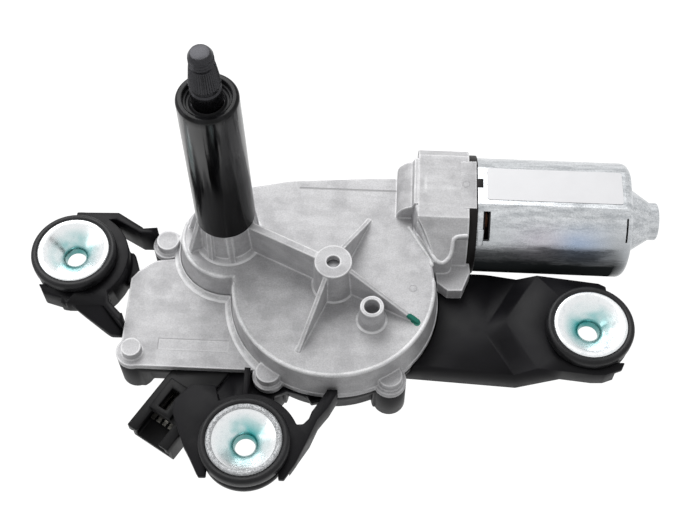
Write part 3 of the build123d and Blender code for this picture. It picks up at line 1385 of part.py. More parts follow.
def grommet(name):
    """Rubber grommet with a groove for the arm's fork, moulded to the outside of its bush."""
    slope = FUNNEL_DEPTH / (BUSH_RIM_IN - BUSH_HOLE_R)
    foot = BUSH_TOP - FUNNEL_DEPTH
    drop = BUSH_SHEET * hypot(1, slope)
    neck = BUSH_HOLE_R + BUSH_SHEET + 0.05
    under = BUSH_TOP - BUSH_SHEET - 0.05
    return turned([
        (BUSH_LIP_R + 0.8, GROMMET_BOTTOM),
        (GROMMET_R - 0.5, GROMMET_BOTTOM),
        (GROMMET_R - 0.5, FORK_TOP - FORK_T - 0.1),
        (GROOVE_R, FORK_TOP - FORK_T - 0.1),
        (GROOVE_R, FORK_TOP + 0.1),
        (GROMMET_R - 0.4, FORK_TOP + 0.1),
        (GROMMET_R, FORK_TOP + 0.6),
        (GROMMET_R, BUSH_TOP - 1.0),
        (GROMMET_R - 0.8, BUSH_TOP - 0.2),
        (BUSH_FLANGE_R + 0.05, BUSH_TOP - 0.2),
        (BUSH_FLANGE_R + 0.05, under),
        (BUSH_HOLE_R + (under + drop + 0.06 - foot) / slope, under),
        (neck, foot - drop - 0.06 + (neck - BUSH_HOLE_R) * slope),
        (neck, BUSH_LIP_Z + BUSH_SHEET + 0.05),
        (BUSH_LIP_R + 0.05, BUSH_LIP_Z + BUSH_SHEET + 0.05),
        (BUSH_LIP_R + 0.05, BUSH_LIP_Z),
    ], EYES[name][0])


def eye_bush(name):
    """Pressed bush of an eye: flat rim, funnel to the bore, short tube with a turned-out lip."""
    slope = FUNNEL_DEPTH / (BUSH_RIM_IN - BUSH_HOLE_R)
    foot = BUSH_TOP - FUNNEL_DEPTH
    drop = BUSH_SHEET * hypot(1, slope)
    neck = BUSH_HOLE_R + BUSH_SHEET
    return turned([
        (BUSH_HOLE_R, BUSH_LIP_Z),
        (BUSH_LIP_R, BUSH_LIP_Z),
        (BUSH_LIP_R, BUSH_LIP_Z + BUSH_SHEET),
        (neck, BUSH_LIP_Z + BUSH_SHEET),
        (neck, foot - drop + (neck - BUSH_HOLE_R) * slope),
        (BUSH_HOLE_R + (BUSH_TOP - BUSH_SHEET + drop - foot) / slope, BUSH_TOP - BUSH_SHEET),
        (BUSH_FLANGE_R, BUSH_TOP - BUSH_SHEET),
        (BUSH_FLANGE_R, BUSH_TOP),
        (BUSH_RIM_IN, BUSH_TOP),
        (BUSH_HOLE_R, foot),
    ], EYES[name][0])


def pin_blades(piece_from, piece_to):
    """Straight blades of the connector between two distances from the mouth."""
    first = HOOD_WIDTH / 2 - PIN_PITCH * (PINS - 1) / 2
    with BuildPart() as blades:
        for i in range(PINS):
            w = first + i * PIN_PITCH
            add(hood_prism((w - PIN_W / 2, w + PIN_W / 2), (piece_from, piece_to), PIN_Z, PIN_Z + PIN_T))
    return blades.part


def connector_housing():
    """Hood of the plug connection: open mouth, two top rails, latch bridge and a tongue into the tray."""
    inner = HOOD_WALL, HOOD_WIDTH - HOOD_WALL
    with BuildPart() as hood:
        add(hood_prism((0, HOOD_WIDTH), (0, 40), HOOD_BASE, HOOD_TOP))
        add(hood_prism(inner, (-1, HOOD_DEPTH), HOOD_BASE + HOOD_WALL, HOOD_TOP - HOOD_WALL), mode=Mode.SUBTRACT)
        add(hood_prism((HOOD_RAIL, HOOD_WIDTH - HOOD_RAIL), (-1, HOOD_OPEN), HOOD_TOP - 3, HOOD_TOP + 1),
            mode=Mode.SUBTRACT)
        add(hood_prism((-1, HOOD_WIDTH + 1), (-1, 1.2), HOOD_BASE - 1, HOOD_TOP - 4), mode=Mode.SUBTRACT)
        add(hood_prism(LATCH[:2], LATCH[2:], HOOD_TOP - 0.1, LATCH_TOP))
        add(hood_prism(LATCH_WINDOW[:2], LATCH_WINDOW[2:], HOOD_TOP - 3, LATCH_TOP + 1), mode=Mode.SUBTRACT)
        # The hood's back follows the tray's wall and the rim
        with BuildSketch():
            add(footprint(LAY_GAP - COVER_INSET))
        extrude(amount=FORK_TOP, mode=Mode.SUBTRACT)
        with BuildSketch(Plane.XY.offset(COVER_TOP - COVER_RIM - LAY_GAP)):
            add(rim_plan(LAY_GAP))
        extrude(amount=FORK_TOP, mode=Mode.SUBTRACT)
        with BuildPart(mode=Mode.PRIVATE) as tongue:
            add(hood_prism((2.1, HOOD_WIDTH - 2.1), (26.0, 42.0), TONGUE[0] + LAY_GAP, TONGUE[1] - LAY_GAP))
            with BuildSketch():
                with Locations((0, FLANGE_CORNERS[4][1] - TRAY_INSIDE + 0.4)):
                    Rectangle(200, 60, align=(Align.CENTER, Align.MIN))
            extrude(amount=FORK_TOP, mode=Mode.SUBTRACT)
        add(tongue.part)
        add(pin_blades(PIN_FROM, PIN_TO), mode=Mode.SUBTRACT)
    return hood


def connector_pins():
    """Blades of the connector, bent down to the contact board inside the cover."""
    first = HOOD_WIDTH / 2 - PIN_PITCH * (PINS - 1) / 2
    with BuildPart() as pins:
        add(pin_blades(PIN_FROM, PIN_TO))
        for i in range(PINS):
            w = first + i * PIN_PITCH
            add(hood_prism((w - PIN_W / 2, w + PIN_W / 2), (PIN_TO - PIN_T, PIN_TO), BOARD_Z + BOARD_T,
                           PIN_Z + PIN_T))
    return pins


def circuit_board():
    """Contact board on the cover's floor, from the connector to the park contacts."""
    with BuildPart() as board:
        with BuildSketch(Plane.XY.offset(BOARD_Z)):
            with BuildLine():
                Polyline(*BOARD, close=True)
            make_face()
            for x, y, _ in SCREWS:
                with Locations((x, y)):
                    Circle(COVER_BOSS_R + FREE_GAP, mode=Mode.SUBTRACT)
        extrude(amount=BOARD_T)
    return board


def park_contacts():
    """Three sheet springs that rise from the board to the tracks of the park disc."""
    low = BOARD_Z + BOARD_T + CONTACT_T
    top = WHEEL_Z - PARK_DISC_T - FREE_GAP
    with BuildPart() as contacts:
        for (inner, outer), x, foot_y in zip(PARK_TRACKS, CONTACT_X, CONTACT_FOOT_Y):
            radius = (inner + outer) / 2
            tip_y = WHEEL_AT[1] - sqrt(radius**2 - (x - WHEEL_AT[0]) ** 2)
            side = 1 if tip_y > foot_y else -1
            path = [
                (foot_y, low),
                (foot_y + side * 2.0, low),
                (tip_y - side * 1.2, top - 0.8),
                (tip_y, top),
                (tip_y + side * 1.2, top - 0.8),
            ]
            back = [(y + side * 0.25, z - CONTACT_T) for y, z in reversed(path)]
            with BuildSketch(Plane.YZ.offset(x - CONTACT_W / 2)):
                with BuildLine():
                    Polyline(*path, *back, close=True)
                make_face()
            extrude(amount=CONTACT_W)
    return contacts


def retaining_ring():
    """Snap ring in the spindle's groove, open on one side."""
    with BuildPart() as clip:
        with BuildSketch(Plane.XY.offset(CLIP_Z)):
            Circle(CLIP_R)
            Circle(SPINDLE_R - CLIP_GROOVE, mode=Mode.SUBTRACT)
            with Locations((CLIP_R, 0)):
                Rectangle(6, 3.0, mode=Mode.SUBTRACT)
        extrude(amount=CLIP_T)
    return clip


save(gear_housing(), "gear_housing")
save(shaft_tube(), "shaft_tube")
save(tube_seal(), "tube_seal")
save(ring(SPINDLE_R + RUN_FIT, TUBE_BORE_R, LOWER_BUSH_Z, LOWER_BUSH_Z + BUSH_LENGTH), "lower_spindle_bush")
save(ring(SPINDLE_R + RUN_FIT, TUBE_BORE_R, UPPER_BUSH_Z, UPPER_BUSH_Z + BUSH_LENGTH), "upper_spindle_bush")
save(ring(0, SPINDLE_R - 0.5, COVER_FLOOR, LINK_Z - 0.3), "thrust_pad")
save(rear_cover(), "rear_cover")
save(cover_arm(left_arm_form()), "left_arm")
save(cover_arm(right_arm_form()), "right_arm")
save(cover_arm(bottom_arm_form()), "bottom_arm")
save(cover_gasket(), "cover_gasket")
save(cover_screws(), "cover_screws")
save(circuit_board(), "contact_board")
save(park_contacts(), "park_contacts")
save(connector_housing(), "connector_housing")
save(connector_pins(), "connector_pins")
for eye in EYES:
    save(grommet(eye), f"{eye}_grommet")
    save(eye_bush(eye), f"{eye}_bush")
save(motor_ring(SHAFT_R + RUN_FIT, WORM_BUSH_R, WORM_BUSH_X - WORM_BUSH_T, WORM_BUSH_X), "worm_end_bush")
save(motor_ring(SHAFT_R + RUN_FIT, CAP_NUB_R - CAN_WALL, *CAN_BUSH_X), "can_end_bush")
save(motor_can(), "motor_can")
save(magnet(-1), "front_magnet")
save(magnet(1), "back_magnet")
save(brush_holder(), "brush_holder")
save(brush(1), "upper_brush")
save(brush(-1), "lower_brush")
save(brush_springs(), "brush_springs")
save(label_plate(), "label_plate")
save(armature_shaft(), "armature_shaft")
save(armature_core(), "armature_core")
save(armature_windings(), "armature_windings")
save(commutator(), "commutator")
save(worm_wheel(), "worm_wheel")
save(crank_shaft(), "crank_shaft")
save(park_disc(), "park_disc")
save(spindle(), "spindle")
save(spindle_pinion(), "spindle_pinion")
save(retaining_ring(), "retaining_ring")
save(link_plate(), "link_plate")
save(ring(0, LINK_PIN_R, LINK_Z, GEAR_Z + GEAR_T, SECTOR_AT), "link_pin")
save(sector_rod(), "sector_rod")
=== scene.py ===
import bpy
import bmesh
import json
from math import atan2, cos, hypot, pi, radians, sin
from mathutils import Matrix, Vector, kdtree

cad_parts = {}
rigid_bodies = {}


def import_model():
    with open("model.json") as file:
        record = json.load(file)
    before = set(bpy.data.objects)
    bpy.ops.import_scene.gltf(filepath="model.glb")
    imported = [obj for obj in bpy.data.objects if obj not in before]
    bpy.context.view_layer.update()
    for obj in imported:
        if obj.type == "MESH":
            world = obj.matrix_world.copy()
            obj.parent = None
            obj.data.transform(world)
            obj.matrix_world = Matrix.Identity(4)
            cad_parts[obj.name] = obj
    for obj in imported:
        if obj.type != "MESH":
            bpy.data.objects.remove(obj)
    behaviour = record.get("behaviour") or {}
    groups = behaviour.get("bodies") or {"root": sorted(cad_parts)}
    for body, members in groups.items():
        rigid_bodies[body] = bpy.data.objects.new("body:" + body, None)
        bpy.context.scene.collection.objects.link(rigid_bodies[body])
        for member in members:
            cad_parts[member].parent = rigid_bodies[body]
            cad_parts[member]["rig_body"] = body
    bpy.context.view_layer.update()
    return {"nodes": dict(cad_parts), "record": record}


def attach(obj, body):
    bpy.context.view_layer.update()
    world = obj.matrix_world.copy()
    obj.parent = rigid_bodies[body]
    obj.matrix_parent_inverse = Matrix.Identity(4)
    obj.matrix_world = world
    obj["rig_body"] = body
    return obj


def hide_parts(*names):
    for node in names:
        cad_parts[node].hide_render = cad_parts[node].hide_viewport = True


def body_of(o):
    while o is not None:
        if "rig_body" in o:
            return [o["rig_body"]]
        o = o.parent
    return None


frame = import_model()
cadNodes = frame["nodes"]
slotOf = {part["node"]: part["material_slot"] for part in frame["record"]["subparts"]}
mm = 0.001
print("frame loaded:", len(cadNodes), "nodes")

# Camera, from the photograph
cameraSettings = {
    "place": (0.05467, -0.23267, 0.41363),
    "right": (0.998936, 0.046108, 0.0000733),
    "up": (-0.039775, 0.860925, 0.507174),
    "lens": 63.63, "sensor": 36, "nearest": 0.01, "farthest": 20,
}


def makeCamera():
    s = cameraSettings
    data = bpy.data.cameras.new("photoCamera")
    data.lens = s["lens"]
    data.sensor_width = s["sensor"]
    data.clip_start, data.clip_end = s["nearest"], s["farthest"]
    camera = bpy.data.objects.new("photoCamera", data)
    bpy.context.scene.collection.objects.link(camera)
    right, up = Vector(s["right"]), Vector(s["up"])
    turn = Matrix((right, up, right.cross(up))).transposed()
    camera.matrix_world = Matrix.Translation(s["place"]) @ turn.to_4x4()
    bpy.context.scene.camera = camera


makeCamera()
print("camera ready")


# Small tools for node trees. A source is a node, for its first output, or a pair of node and output name

def addNode(tree, kind, sockets=None, **settings):
    node = tree.nodes.new("ShaderNode" + kind)
    for key, value in settings.items():
        setattr(node, key, value)
    for key, value in (sockets or {}).items():
        node.inputs[key].default_value = value
    return node


def outputOf(source):
    return source[0].outputs[source[1]] if isinstance(source, tuple) else source.outputs[0]


def wire(tree, source, target, socket):
    tree.links.new(outputOf(source), target.inputs[socket])


def fill(tree, socket, value):
    # value is a number, a colour or a source
    if isinstance(value, (int, float)):
        socket.default_value = value
    elif isinstance(value, tuple) and len(value) == 3:
        socket.default_value = (*value, 1)
    else:
        tree.links.new(outputOf(value), socket)


def newMaterial(name, colour, rough, metal=0.0, specular=0.5):
    material = bpy.data.materials.new(name)
    material.use_nodes = True
    material.diffuse_color = (*colour, 1)
    tree = material.node_tree
    shader = tree.nodes["Principled BSDF"]
    shader.inputs["Base Color"].default_value = (*colour, 1)
    shader.inputs["Roughness"].default_value = rough
    shader.inputs["Metallic"].default_value = metal
    shader.inputs["Specular IOR Level"].default_value = specular
    place = (addNode(tree, "TexCoord"), "Object")
    return material, tree, shader, place


def noise(tree, place, size, detail=3.0, stretch=None, rough=0.55):
    # size is the grain in millimetres
    source = place
    if stretch:
        source = addNode(tree, "Mapping", {"Scale": stretch})
        wire(tree, place, source, "Vector")
    grain = addNode(tree, "TexNoise", {"Scale": 1 / (size * mm), "Detail": detail, "Roughness": rough})
    wire(tree, source, grain, "Vector")
    return grain


def axes(tree, place):
    split = addNode(tree, "SeparateXYZ")
    wire(tree, place, split, "Vector")
    return split


def ramp(tree, source, stops, smooth=False):
    # stops: place along the ramp and grey level or colour
    node = addNode(tree, "ValToRGB")
    bar = node.color_ramp
    bar.interpolation = "EASE" if smooth else "LINEAR"
    while len(bar.elements) < len(stops):
        bar.elements.new(0.5)
    for element, (at, colour) in zip(bar.elements, stops):
        element.position = at
        element.color = (*colour, 1) if isinstance(colour, tuple) else (colour, colour, colour, 1)
    wire(tree, source, node, "Fac")
    return node


def level(tree, source, low, high, start=0.0, end=1.0):
    # low where the source is at start, high where it is at end
    node = addNode(tree, "MapRange", {"From Min": start, "From Max": end, "To Min": low, "To Max": high})
    wire(tree, source, node, "Value")
    return node


def zone(tree, source, low, high, limits):
    # the same with both limits in millimetres
    return level(tree, source, low, high, limits[0] * mm, limits[1] * mm)


def grade(tree, grain, low, high):
    # low to high over the middle of a noise
    return level(tree, grain, low, high, 0.3, 0.7)


def calc(tree, operation, *values):
    node = addNode(tree, "Math", operation=operation)
    for socket, value in zip(node.inputs, values):
        fill(tree, socket, value)
    return node


def product(tree, first, *others):
    result = first
    for other in others:
        result = calc(tree, "MULTIPLY", result, other)
    return result


def blendColour(tree, factor, first, second, mode="MIX"):
    node = addNode(tree, "Mix", data_type="RGBA", blend_type=mode)
    kinds = (("Factor", "VALUE"), ("A", "RGBA"), ("B", "RGBA"))
    for (name, kind), value in zip(kinds, (factor, first, second)):
        fill(tree, [s for s in node.inputs if s.name == name and s.type == kind][0], value)
    return node, 2      # the node's third output is the colour


def bumpFrom(tree, heights, soft=0.0):
    # heights: source, strength and distance in mm, sunk where the strength is negative;
    # soft: radius of the rounded edges in mm
    last = addNode(tree, "Bevel", {"Radius": soft * mm}, samples=6) if soft else None
    for source, strength, reach in heights:
        bump = addNode(tree, "Bump", {"Strength": abs(strength), "Distance": reach * mm}, invert=strength < 0)
        wire(tree, source, bump, "Height")
        if last:
            wire(tree, last, bump, "Normal")
        last = bump
    return last


def edgeMask(tree, reach):
    # 1 on edges within reach millimetres, 0 on the flats
    soft = addNode(tree, "Bevel", {"Radius": reach * mm}, samples=6)
    dot = addNode(tree, "VectorMath", operation="DOT_PRODUCT")
    wire(tree, soft, dot, 0)
    wire(tree, (addNode(tree, "NewGeometry"), "Normal"), dot, 1)
    return level(tree, (dot, "Value"), 1.0, 0.0, 0.93, 0.998)


def spot(tree, place, centre, inner, outer):
    # 1 inside a ball round a point, fading to 0 between its two radii in millimetres
    shift = addNode(tree, "Mapping", {"Location": tuple(-c * mm for c in centre)})
    wire(tree, place, shift, "Vector")
    length = addNode(tree, "VectorMath", operation="LENGTH")
    wire(tree, shift, length, 0)
    return zone(tree, (length, "Value"), 1.0, 0.0, (inner, outer))


def field(tree, split, edges, soft=0.25):
    # 1 inside an upright field, 0 outside; edges: left, right, front and back in millimetres
    left, right, front, back = edges
    sides = []
    for axis, low, high in (("X", left, right), ("Y", front, back)):
        sides.append(zone(tree, (split, axis), 0.0, 1.0, (low - soft, low + soft)))
        sides.append(zone(tree, (split, axis), 0.0, 1.0, (high + soft, high - soft)))
    return product(tree, *sides)


# Studio
studioSettings = {
    "worldLevel": 0.42,       # light that the world gives
    "aim": (0.045, -0.02, 0.02),
    "lamps": {
        # power, place, size
        "key": (4.3, (-0.14, 0.42, 0.62), 0.55),
        "side": (0.5, (-0.62, -0.05, 0.42), 0.35),
    },
    "floorSize": 3.0, "floorDrop": 0.0002, "floorShade": 0.45, "floorGlow": 0.84, "glowLevel": 1.24,
}


def makeWorld():
    world = bpy.data.worlds.new("studioWorld")
    bpy.context.scene.world = world
    world.use_nodes = True
    tree = world.node_tree
    back = tree.nodes["Background"]
    back.inputs["Color"].default_value = (1, 1, 1, 1)
    # white where the camera, metal or glass sees it, dimmer as a light
    rays = addNode(tree, "LightPath")
    seen = calc(tree, "MAXIMUM", (rays, "Is Camera Ray"), (rays, "Is Glossy Ray"))
    seen = calc(tree, "MAXIMUM", seen, (rays, "Is Transmission Ray"))
    wire(tree, level(tree, seen, studioSettings["worldLevel"], 1.0), back, "Strength")


def makeLamps():
    for name, (power, place, size) in studioSettings["lamps"].items():
        data = bpy.data.lights.new(name + "Light", "AREA")
        data.energy = power
        data.size = size
        lamp = bpy.data.objects.new(name + "Light", data)
        bpy.context.scene.collection.objects.link(lamp)
        lamp.location = place
        aim = Vector(studioSettings["aim"]) - lamp.location
        lamp.rotation_euler = aim.to_track_quat("-Z", "Y").to_euler()


def makeFloor():
    s = studioSettings
    mesh = bmesh.new()
    bmesh.ops.create_grid(mesh, x_segments=1, y_segments=1, size=s["floorSize"])
    data = bpy.data.meshes.new("studioFloor")
    mesh.to_mesh(data)
    mesh.free()
    floor = bpy.data.objects.new("studioFloor", data)
    bpy.context.scene.collection.objects.link(floor)
    floor.location.z = -s["floorDrop"]
    material = bpy.data.materials.new("paleFloor")
    material.use_nodes = True
    tree = material.node_tree
    tree.nodes.remove(tree.nodes["Principled BSDF"])
    matt = addNode(tree, "BsdfDiffuse", {"Color": (s["floorShade"],) * 3 + (1,)})
    glow = addNode(tree, "Emission", {"Color": (1, 1, 1, 1), "Strength": s["glowLevel"]})
    rays = addNode(tree, "LightPath")
    seen = calc(tree, "MAXIMUM", (rays, "Is Camera Ray"), (rays, "Is Glossy Ray"))
    mixed = addNode(tree, "MixShader")
    wire(tree, calc(tree, "MULTIPLY", seen, s["floorGlow"]), mixed, 0)
    wire(tree, matt, mixed, 1)
    wire(tree, glow, mixed, 2)
    wire(tree, mixed, tree.nodes["Material Output"], "Surface")
    data.materials.append(material)


makeWorld()
makeLamps()
makeFloor()
bpy.context.scene.view_settings.view_transform = "Standard"
print("studio ready")

# Finishes
castSettings = {
    "dark": (0.47, 0.468, 0.48), "light": (0.58, 0.578, 0.59),
    # paler tones: painted highlight on fillets and beads; edge: tone of bright edges, partly wear and partly
    # painted highlight, also painted on the sunk field's rim
    "highlitDark": (0.60, 0.60, 0.61), "highlitLight": (0.84, 0.84, 0.85), "edge": (0.97, 0.97, 0.98),
    "rough": (0.46, 0.64), "metal": 0.12, "grainSize": 0.45, "edgeReach": 1.15, "round": 0.6,
    # rings left by the ejector pins: centres, and the radii of both sides of the ring
    "ejectorMarks": [(67.2, -18.4, 29.1), (85.3, 20.0, 39.8)],
    "markOutside": (1.35, 1.55), "markInside": (1.0, 1.2),
    # dab of paint on a rib: overlapping balls with their radii
    "paint": (0.0, 0.17, 0.12), "paintRadius": [1.7, 2.0, 1.7],
    "paintAt": [(66.3, -31.2, 31.0), (67.6, -31.6, 30.4), (68.9, -32.2, 29.5)],
    # left, right, front and back of the sunk field on the flange, and of the groove on the tunnel
    "panel": (-22.8, 2.4, -41.0, -36.5), "panelRim": 0.45,
    "groove": (24.3, 60.2, 22.1, 22.7),
    "flangeTop": (17.5, 18.0), "tunnelTop": (28.8, 29.0),      # heights where one ends and the other starts
}


def castAluminium(name, dark, light):
    s = castSettings
    material, tree, shader, place = newMaterial(name, light, 0.45, s["metal"])
    clouds = noise(tree, place, 9.0, 4.0)
    grain = noise(tree, place, s["grainSize"], 5.0, rough=0.7)
    flow = noise(tree, place, 3.0, 3.0, stretch=(0.25, 1.0, 1.0))
    shades = ramp(tree, clouds, [(0.36, dark), (0.58, light)], smooth=True)
    speckle = ramp(tree, grain, [(0.36, 0.80), (0.64, 1.10)])
    streaks = ramp(tree, flow, [(0.35, 0.92), (0.65, 1.05)])
    tone = blendColour(tree, 1.0, shades, speckle, "MULTIPLY")
    tone = blendColour(tree, 1.0, tone, streaks, "MULTIPLY")
    # bright edges, partly wear and partly painted highlight
    patchy = level(tree, flow, 0.45, 1.0, 0.3, 0.6)
    tone = blendColour(tree, product(tree, edgeMask(tree, s["edgeReach"]), patchy), tone, s["edge"])
    # sunk field with a painted highlight on its rim, and the groove, darkened with painted shade
    split = axes(tree, place)
    onFlange = zone(tree, (split, "Z"), 1.0, 0.0, s["flangeTop"])
    onTunnel = zone(tree, (split, "Z"), 0.0, 1.0, s["tunnelTop"])
    panel = field(tree, split, s["panel"])
    left, right, front, back = s["panel"]
    rim = s["panelRim"]
    inner = field(tree, split, (left + rim, right - rim, front + rim, back - rim))
    sunk = product(tree, panel, onFlange)
    groove = product(tree, field(tree, split, s["groove"], soft=0.15), onTunnel)
    outline = product(tree, calc(tree, "SUBTRACT", panel, inner), onFlange, 0.25)
    # painted highlight on the sunk field's rim
    tone = blendColour(tree, outline, tone, s["edge"])
    # painted shade in the groove
    tone = blendColour(tree, product(tree, groove, 0.6), tone, tuple(c * 0.5 for c in dark))
    # paint with a torn edge
    dab = None
    for centre, radius in zip(s["paintAt"], s["paintRadius"]):
        touch = spot(tree, place, centre, radius * 0.55, radius)
        dab = calc(tree, "MAXIMUM", dab, touch) if dab else touch
    torn = product(tree, dab, level(tree, noise(tree, place, 1.3, 2.0), 0.6, 1.5))
    painted = calc(tree, "GREATER_THAN", torn, 0.5)
    tone = blendColour(tree, painted, tone, s["paint"])
    wire(tree, tone, shader, "Base Color")
    wire(tree, calc(tree, "MULTIPLY_ADD", painted, -s["metal"], s["metal"]), shader, "Metallic")
    wire(tree, grade(tree, grain, *s["rough"]), shader, "Roughness")
    marks = None
    for centre in s["ejectorMarks"]:
        outside = spot(tree, place, centre, *s["markOutside"])
        ringMark = calc(tree, "SUBTRACT", outside, spot(tree, place, centre, *s["markInside"]))
        marks = calc(tree, "ADD", marks, ringMark) if marks else ringMark
    heights = [(clouds, 0.30, 0.5), (grain, 0.38, 0.14), (marks, 0.6, 0.25),
               (sunk, -0.7, 0.4), (groove, -0.6, 0.3)]
    wire(tree, bumpFrom(tree, heights, s["round"]), shader, "Normal")
    return material


canSettings = {
    "base": (0.44, 0.46, 0.48), "bright": (0.69, 0.71, 0.73), "under": (0.040, 0.045, 0.047),
    "violet": (0.42, 0.36, 0.45), "blue": (0.33, 0.42, 0.58),
    "rough": (0.18, 0.36), "metal": 0.9, "round": 0.35,
    # where the heat tint and the painted shade on the underside fade, across, up and along the can
    "tintAcross": (0.0, 8.0), "tintUp": (14.0, 26.0), "tintAlong": (98.0, 142.0),
    "shadeAcross": (16.0, 22.0), "shadeUp": (24.5, 34.5), "shadeAlong": (140.5, 146.5),
    "shadeDrift": 0.007,      # height of its streaky edge, in metres
}


def galvanisedSheet():
    s = canSettings
    material, tree, shader, place = newMaterial("galvanisedSheet", s["base"], 0.25, s["metal"])
    streaks = noise(tree, place, 2.2, 5.0, stretch=(0.22, 1.0, 1.0), rough=0.65)
    spangle = noise(tree, place, 0.6, 4.0, rough=0.7)
    tint = noise(tree, place, 26.0, 2.0, stretch=(0.6, 1.0, 1.4))
    shades = ramp(tree, streaks, [(0.33, s["base"]), (0.66, s["bright"])], smooth=True)
    fleck = ramp(tree, spangle, [(0.35, 0.78), (0.62, 1.08)])
    tone = blendColour(tree, 1.0, shades, fleck, "MULTIPLY")
    # heat tint, violet then blue, along the side of the can
    split = axes(tree, place)
    side = zone(tree, (split, "Y"), 1.0, 0.0, s["tintAcross"])
    low = zone(tree, (split, "Z"), 0.0, 1.0, s["tintUp"])
    band = product(tree, side, low, level(tree, tint, 0.35, 1.0, 0.35, 0.6))
    along = zone(tree, (split, "X"), 0.0, 1.0, s["tintAlong"])
    hues = [(0.0, s["base"]), (0.35, s["violet"]), (0.62, s["blue"]), (1.0, s["base"])]
    tone = blendColour(tree, band, tone, ramp(tree, along, hues, smooth=True))
    # painted shade and dark reflection on the underside, with a streaky edge
    drift = calc(tree, "MULTIPLY_ADD", streaks, s["shadeDrift"], (split, "Z"))
    low = zone(tree, drift, 1.0, 0.0, s["shadeUp"])
    front = zone(tree, (split, "Y"), 1.0, 0.0, s["shadeAcross"])
    paintedShade = product(tree, low, front, zone(tree, (split, "X"), 1.0, 0.12, s["shadeAlong"]))
    tone = blendColour(tree, paintedShade, tone, s["under"])
    # lighter edges: painted highlight
    tone = blendColour(tree, product(tree, edgeMask(tree, 0.5), 0.35), tone, s["bright"])
    wire(tree, tone, shader, "Base Color")
    # the painted shade is matt and not metallic
    unshaded = calc(tree, "SUBTRACT", 1.0, paintedShade)
    wire(tree, product(tree, unshaded, s["metal"]), shader, "Metallic")
    wire(tree, product(tree, unshaded, 0.5), shader, "Specular IOR Level")
    wire(tree, grade(tree, streaks, *s["rough"]), shader, "Roughness")
    wire(tree, bumpFrom(tree, [(streaks, 0.14, 0.25), (spangle, 0.16, 0.08)], s["round"]), shader, "Normal")
    return material


tubeSettings = {
    "dark": (0.0025, 0.0025, 0.003), "pale": (0.020, 0.020, 0.022), "rough": (0.07, 0.22), "round": 0.5,
    # gloss from the tower to the mouth
    "sheen": [(0.0, 0.10), (0.40, 0.14), (0.72, 0.55), (0.94, 0.50), (0.98, 0.14)],
    "sheenHeight": (45.0, 112.0), "palerHeight": (50.0, 108.0),
}


def glossyTubePaint():
    s = tubeSettings
    material, tree, shader, place = newMaterial("glossyTubePaint", s["dark"], 0.2)
    sag = noise(tree, place, 5.0, 3.0, stretch=(1.0, 1.0, 0.14))
    peel = noise(tree, place, 0.9, 2.0)
    split = axes(tree, place)
    # paler towards the mouth, in long blotches
    height = zone(tree, (split, "Z"), 0.0, 1.0, s["palerHeight"])
    dust = product(tree, height, level(tree, sag, 0.0, 1.0, 0.36, 0.62))
    wire(tree, blendColour(tree, dust, s["dark"], s["pale"]), shader, "Base Color")
    wire(tree, grade(tree, sag, *s["rough"]), shader, "Roughness")
    along = zone(tree, (split, "Z"), 0.0, 1.0, s["sheenHeight"])
    wire(tree, ramp(tree, along, s["sheen"]), shader, "Specular IOR Level")
    wire(tree, bumpFrom(tree, [(sag, 0.25, 0.5), (peel, 0.05, 0.05)], s["round"]), shader, "Normal")
    return material


def mouldedBlack(name, tone, roughLow, roughHigh, grainSize, grainDepth):
    material, tree, shader, place = newMaterial(name, tone, roughLow, specular=0.13)
    grain = noise(tree, place, grainSize, 4.0, rough=0.7)
    flow = noise(tree, place, 14.0, 3.0)
    shades = ramp(tree, flow, [(0.32, tone), (0.72, tuple(c * 1.7 for c in tone))], smooth=True)
    # lighter edges, partly wear and partly painted highlight
    worn = product(tree, edgeMask(tree, 0.5), level(tree, grain, 0.25, 0.8, 0.35, 0.65))
    wire(tree, blendColour(tree, worn, shades, tuple(c * 4.5 for c in tone)), shader, "Base Color")
    wire(tree, grade(tree, flow, roughLow, roughHigh), shader, "Roughness")
    wire(tree, bumpFrom(tree, [(grain, 0.35, grainDepth), (flow, 0.12, 0.5)], 0.45), shader, "Normal")
    return material


def rubberSatin(name, tone, rough):
    material, tree, shader, place = newMaterial(name, tone, rough, specular=0.24)
    bloom = noise(tree, place, 5.0, 4.0)
    grain = noise(tree, place, 0.35, 3.0)
    dust = ramp(tree, grain, [(0.40, tone), (0.75, tuple(c * 2.6 for c in tone))])
    shades = ramp(tree, bloom, [(0.35, 0.65), (0.7, 1.25)], smooth=True)
    wire(tree, blendColour(tree, 1.0, dust, shades, "MULTIPLY"), shader, "Base Color")
    wire(tree, grade(tree, bloom, rough - 0.07, rough + 0.1), shader, "Roughness")
    wire(tree, bumpFrom(tree, [(bloom, 0.15, 0.25), (grain, 0.22, 0.05)], 0.3), shader, "Normal")
    return material


eyes = {"left": (-56.5, -7.1), "right": (130.1, -28.9), "bottom": (12.0, -77.5)}
bushSettings = {
    "plate": (0.86, 0.88, 0.89), "dull": (0.74, 0.77, 0.79),
    "teal": (0.05, 0.42, 0.42), "tealReach": (4.0, 10.0),
    "deep": (0.03, 0.24, 0.23), "deepReach": (3.5, 4.7),
    "rimReach": (10.7, 11.0), "rimTone": (0.16, 0.165, 0.17), "rimPale": (0.50, 0.51, 0.52), "ringScale": 600,
}


def fromEye(tree, place, name):
    # distance from an eye's axis, in metres
    x, y = eyes[name]
    shift = addNode(tree, "Mapping", {"Location": (-x * mm, -y * mm, 0), "Scale": (1, 1, 0)})
    wire(tree, place, shift, "Vector")
    reach = addNode(tree, "VectorMath", operation="LENGTH")
    wire(tree, shift, reach, 0)
    return reach, "Value"


def turnedRings(tree, place, name):
    # fine rings round an eye's axis
    x, y = (c * mm for c in eyes[name])
    scale = bushSettings["ringScale"]
    centre = addNode(tree, "Mapping", {"Location": (-x * scale, -y * scale, 0), "Scale": (scale, scale, 0)})
    wire(tree, place, centre, "Vector")
    rings = addNode(tree, "TexWave", {"Scale": 1.0, "Distortion": 1.2, "Detail": 2.0}, wave_type="RINGS",
                    rings_direction="Z")
    wire(tree, centre, rings, "Vector")
    return rings, "Fac"


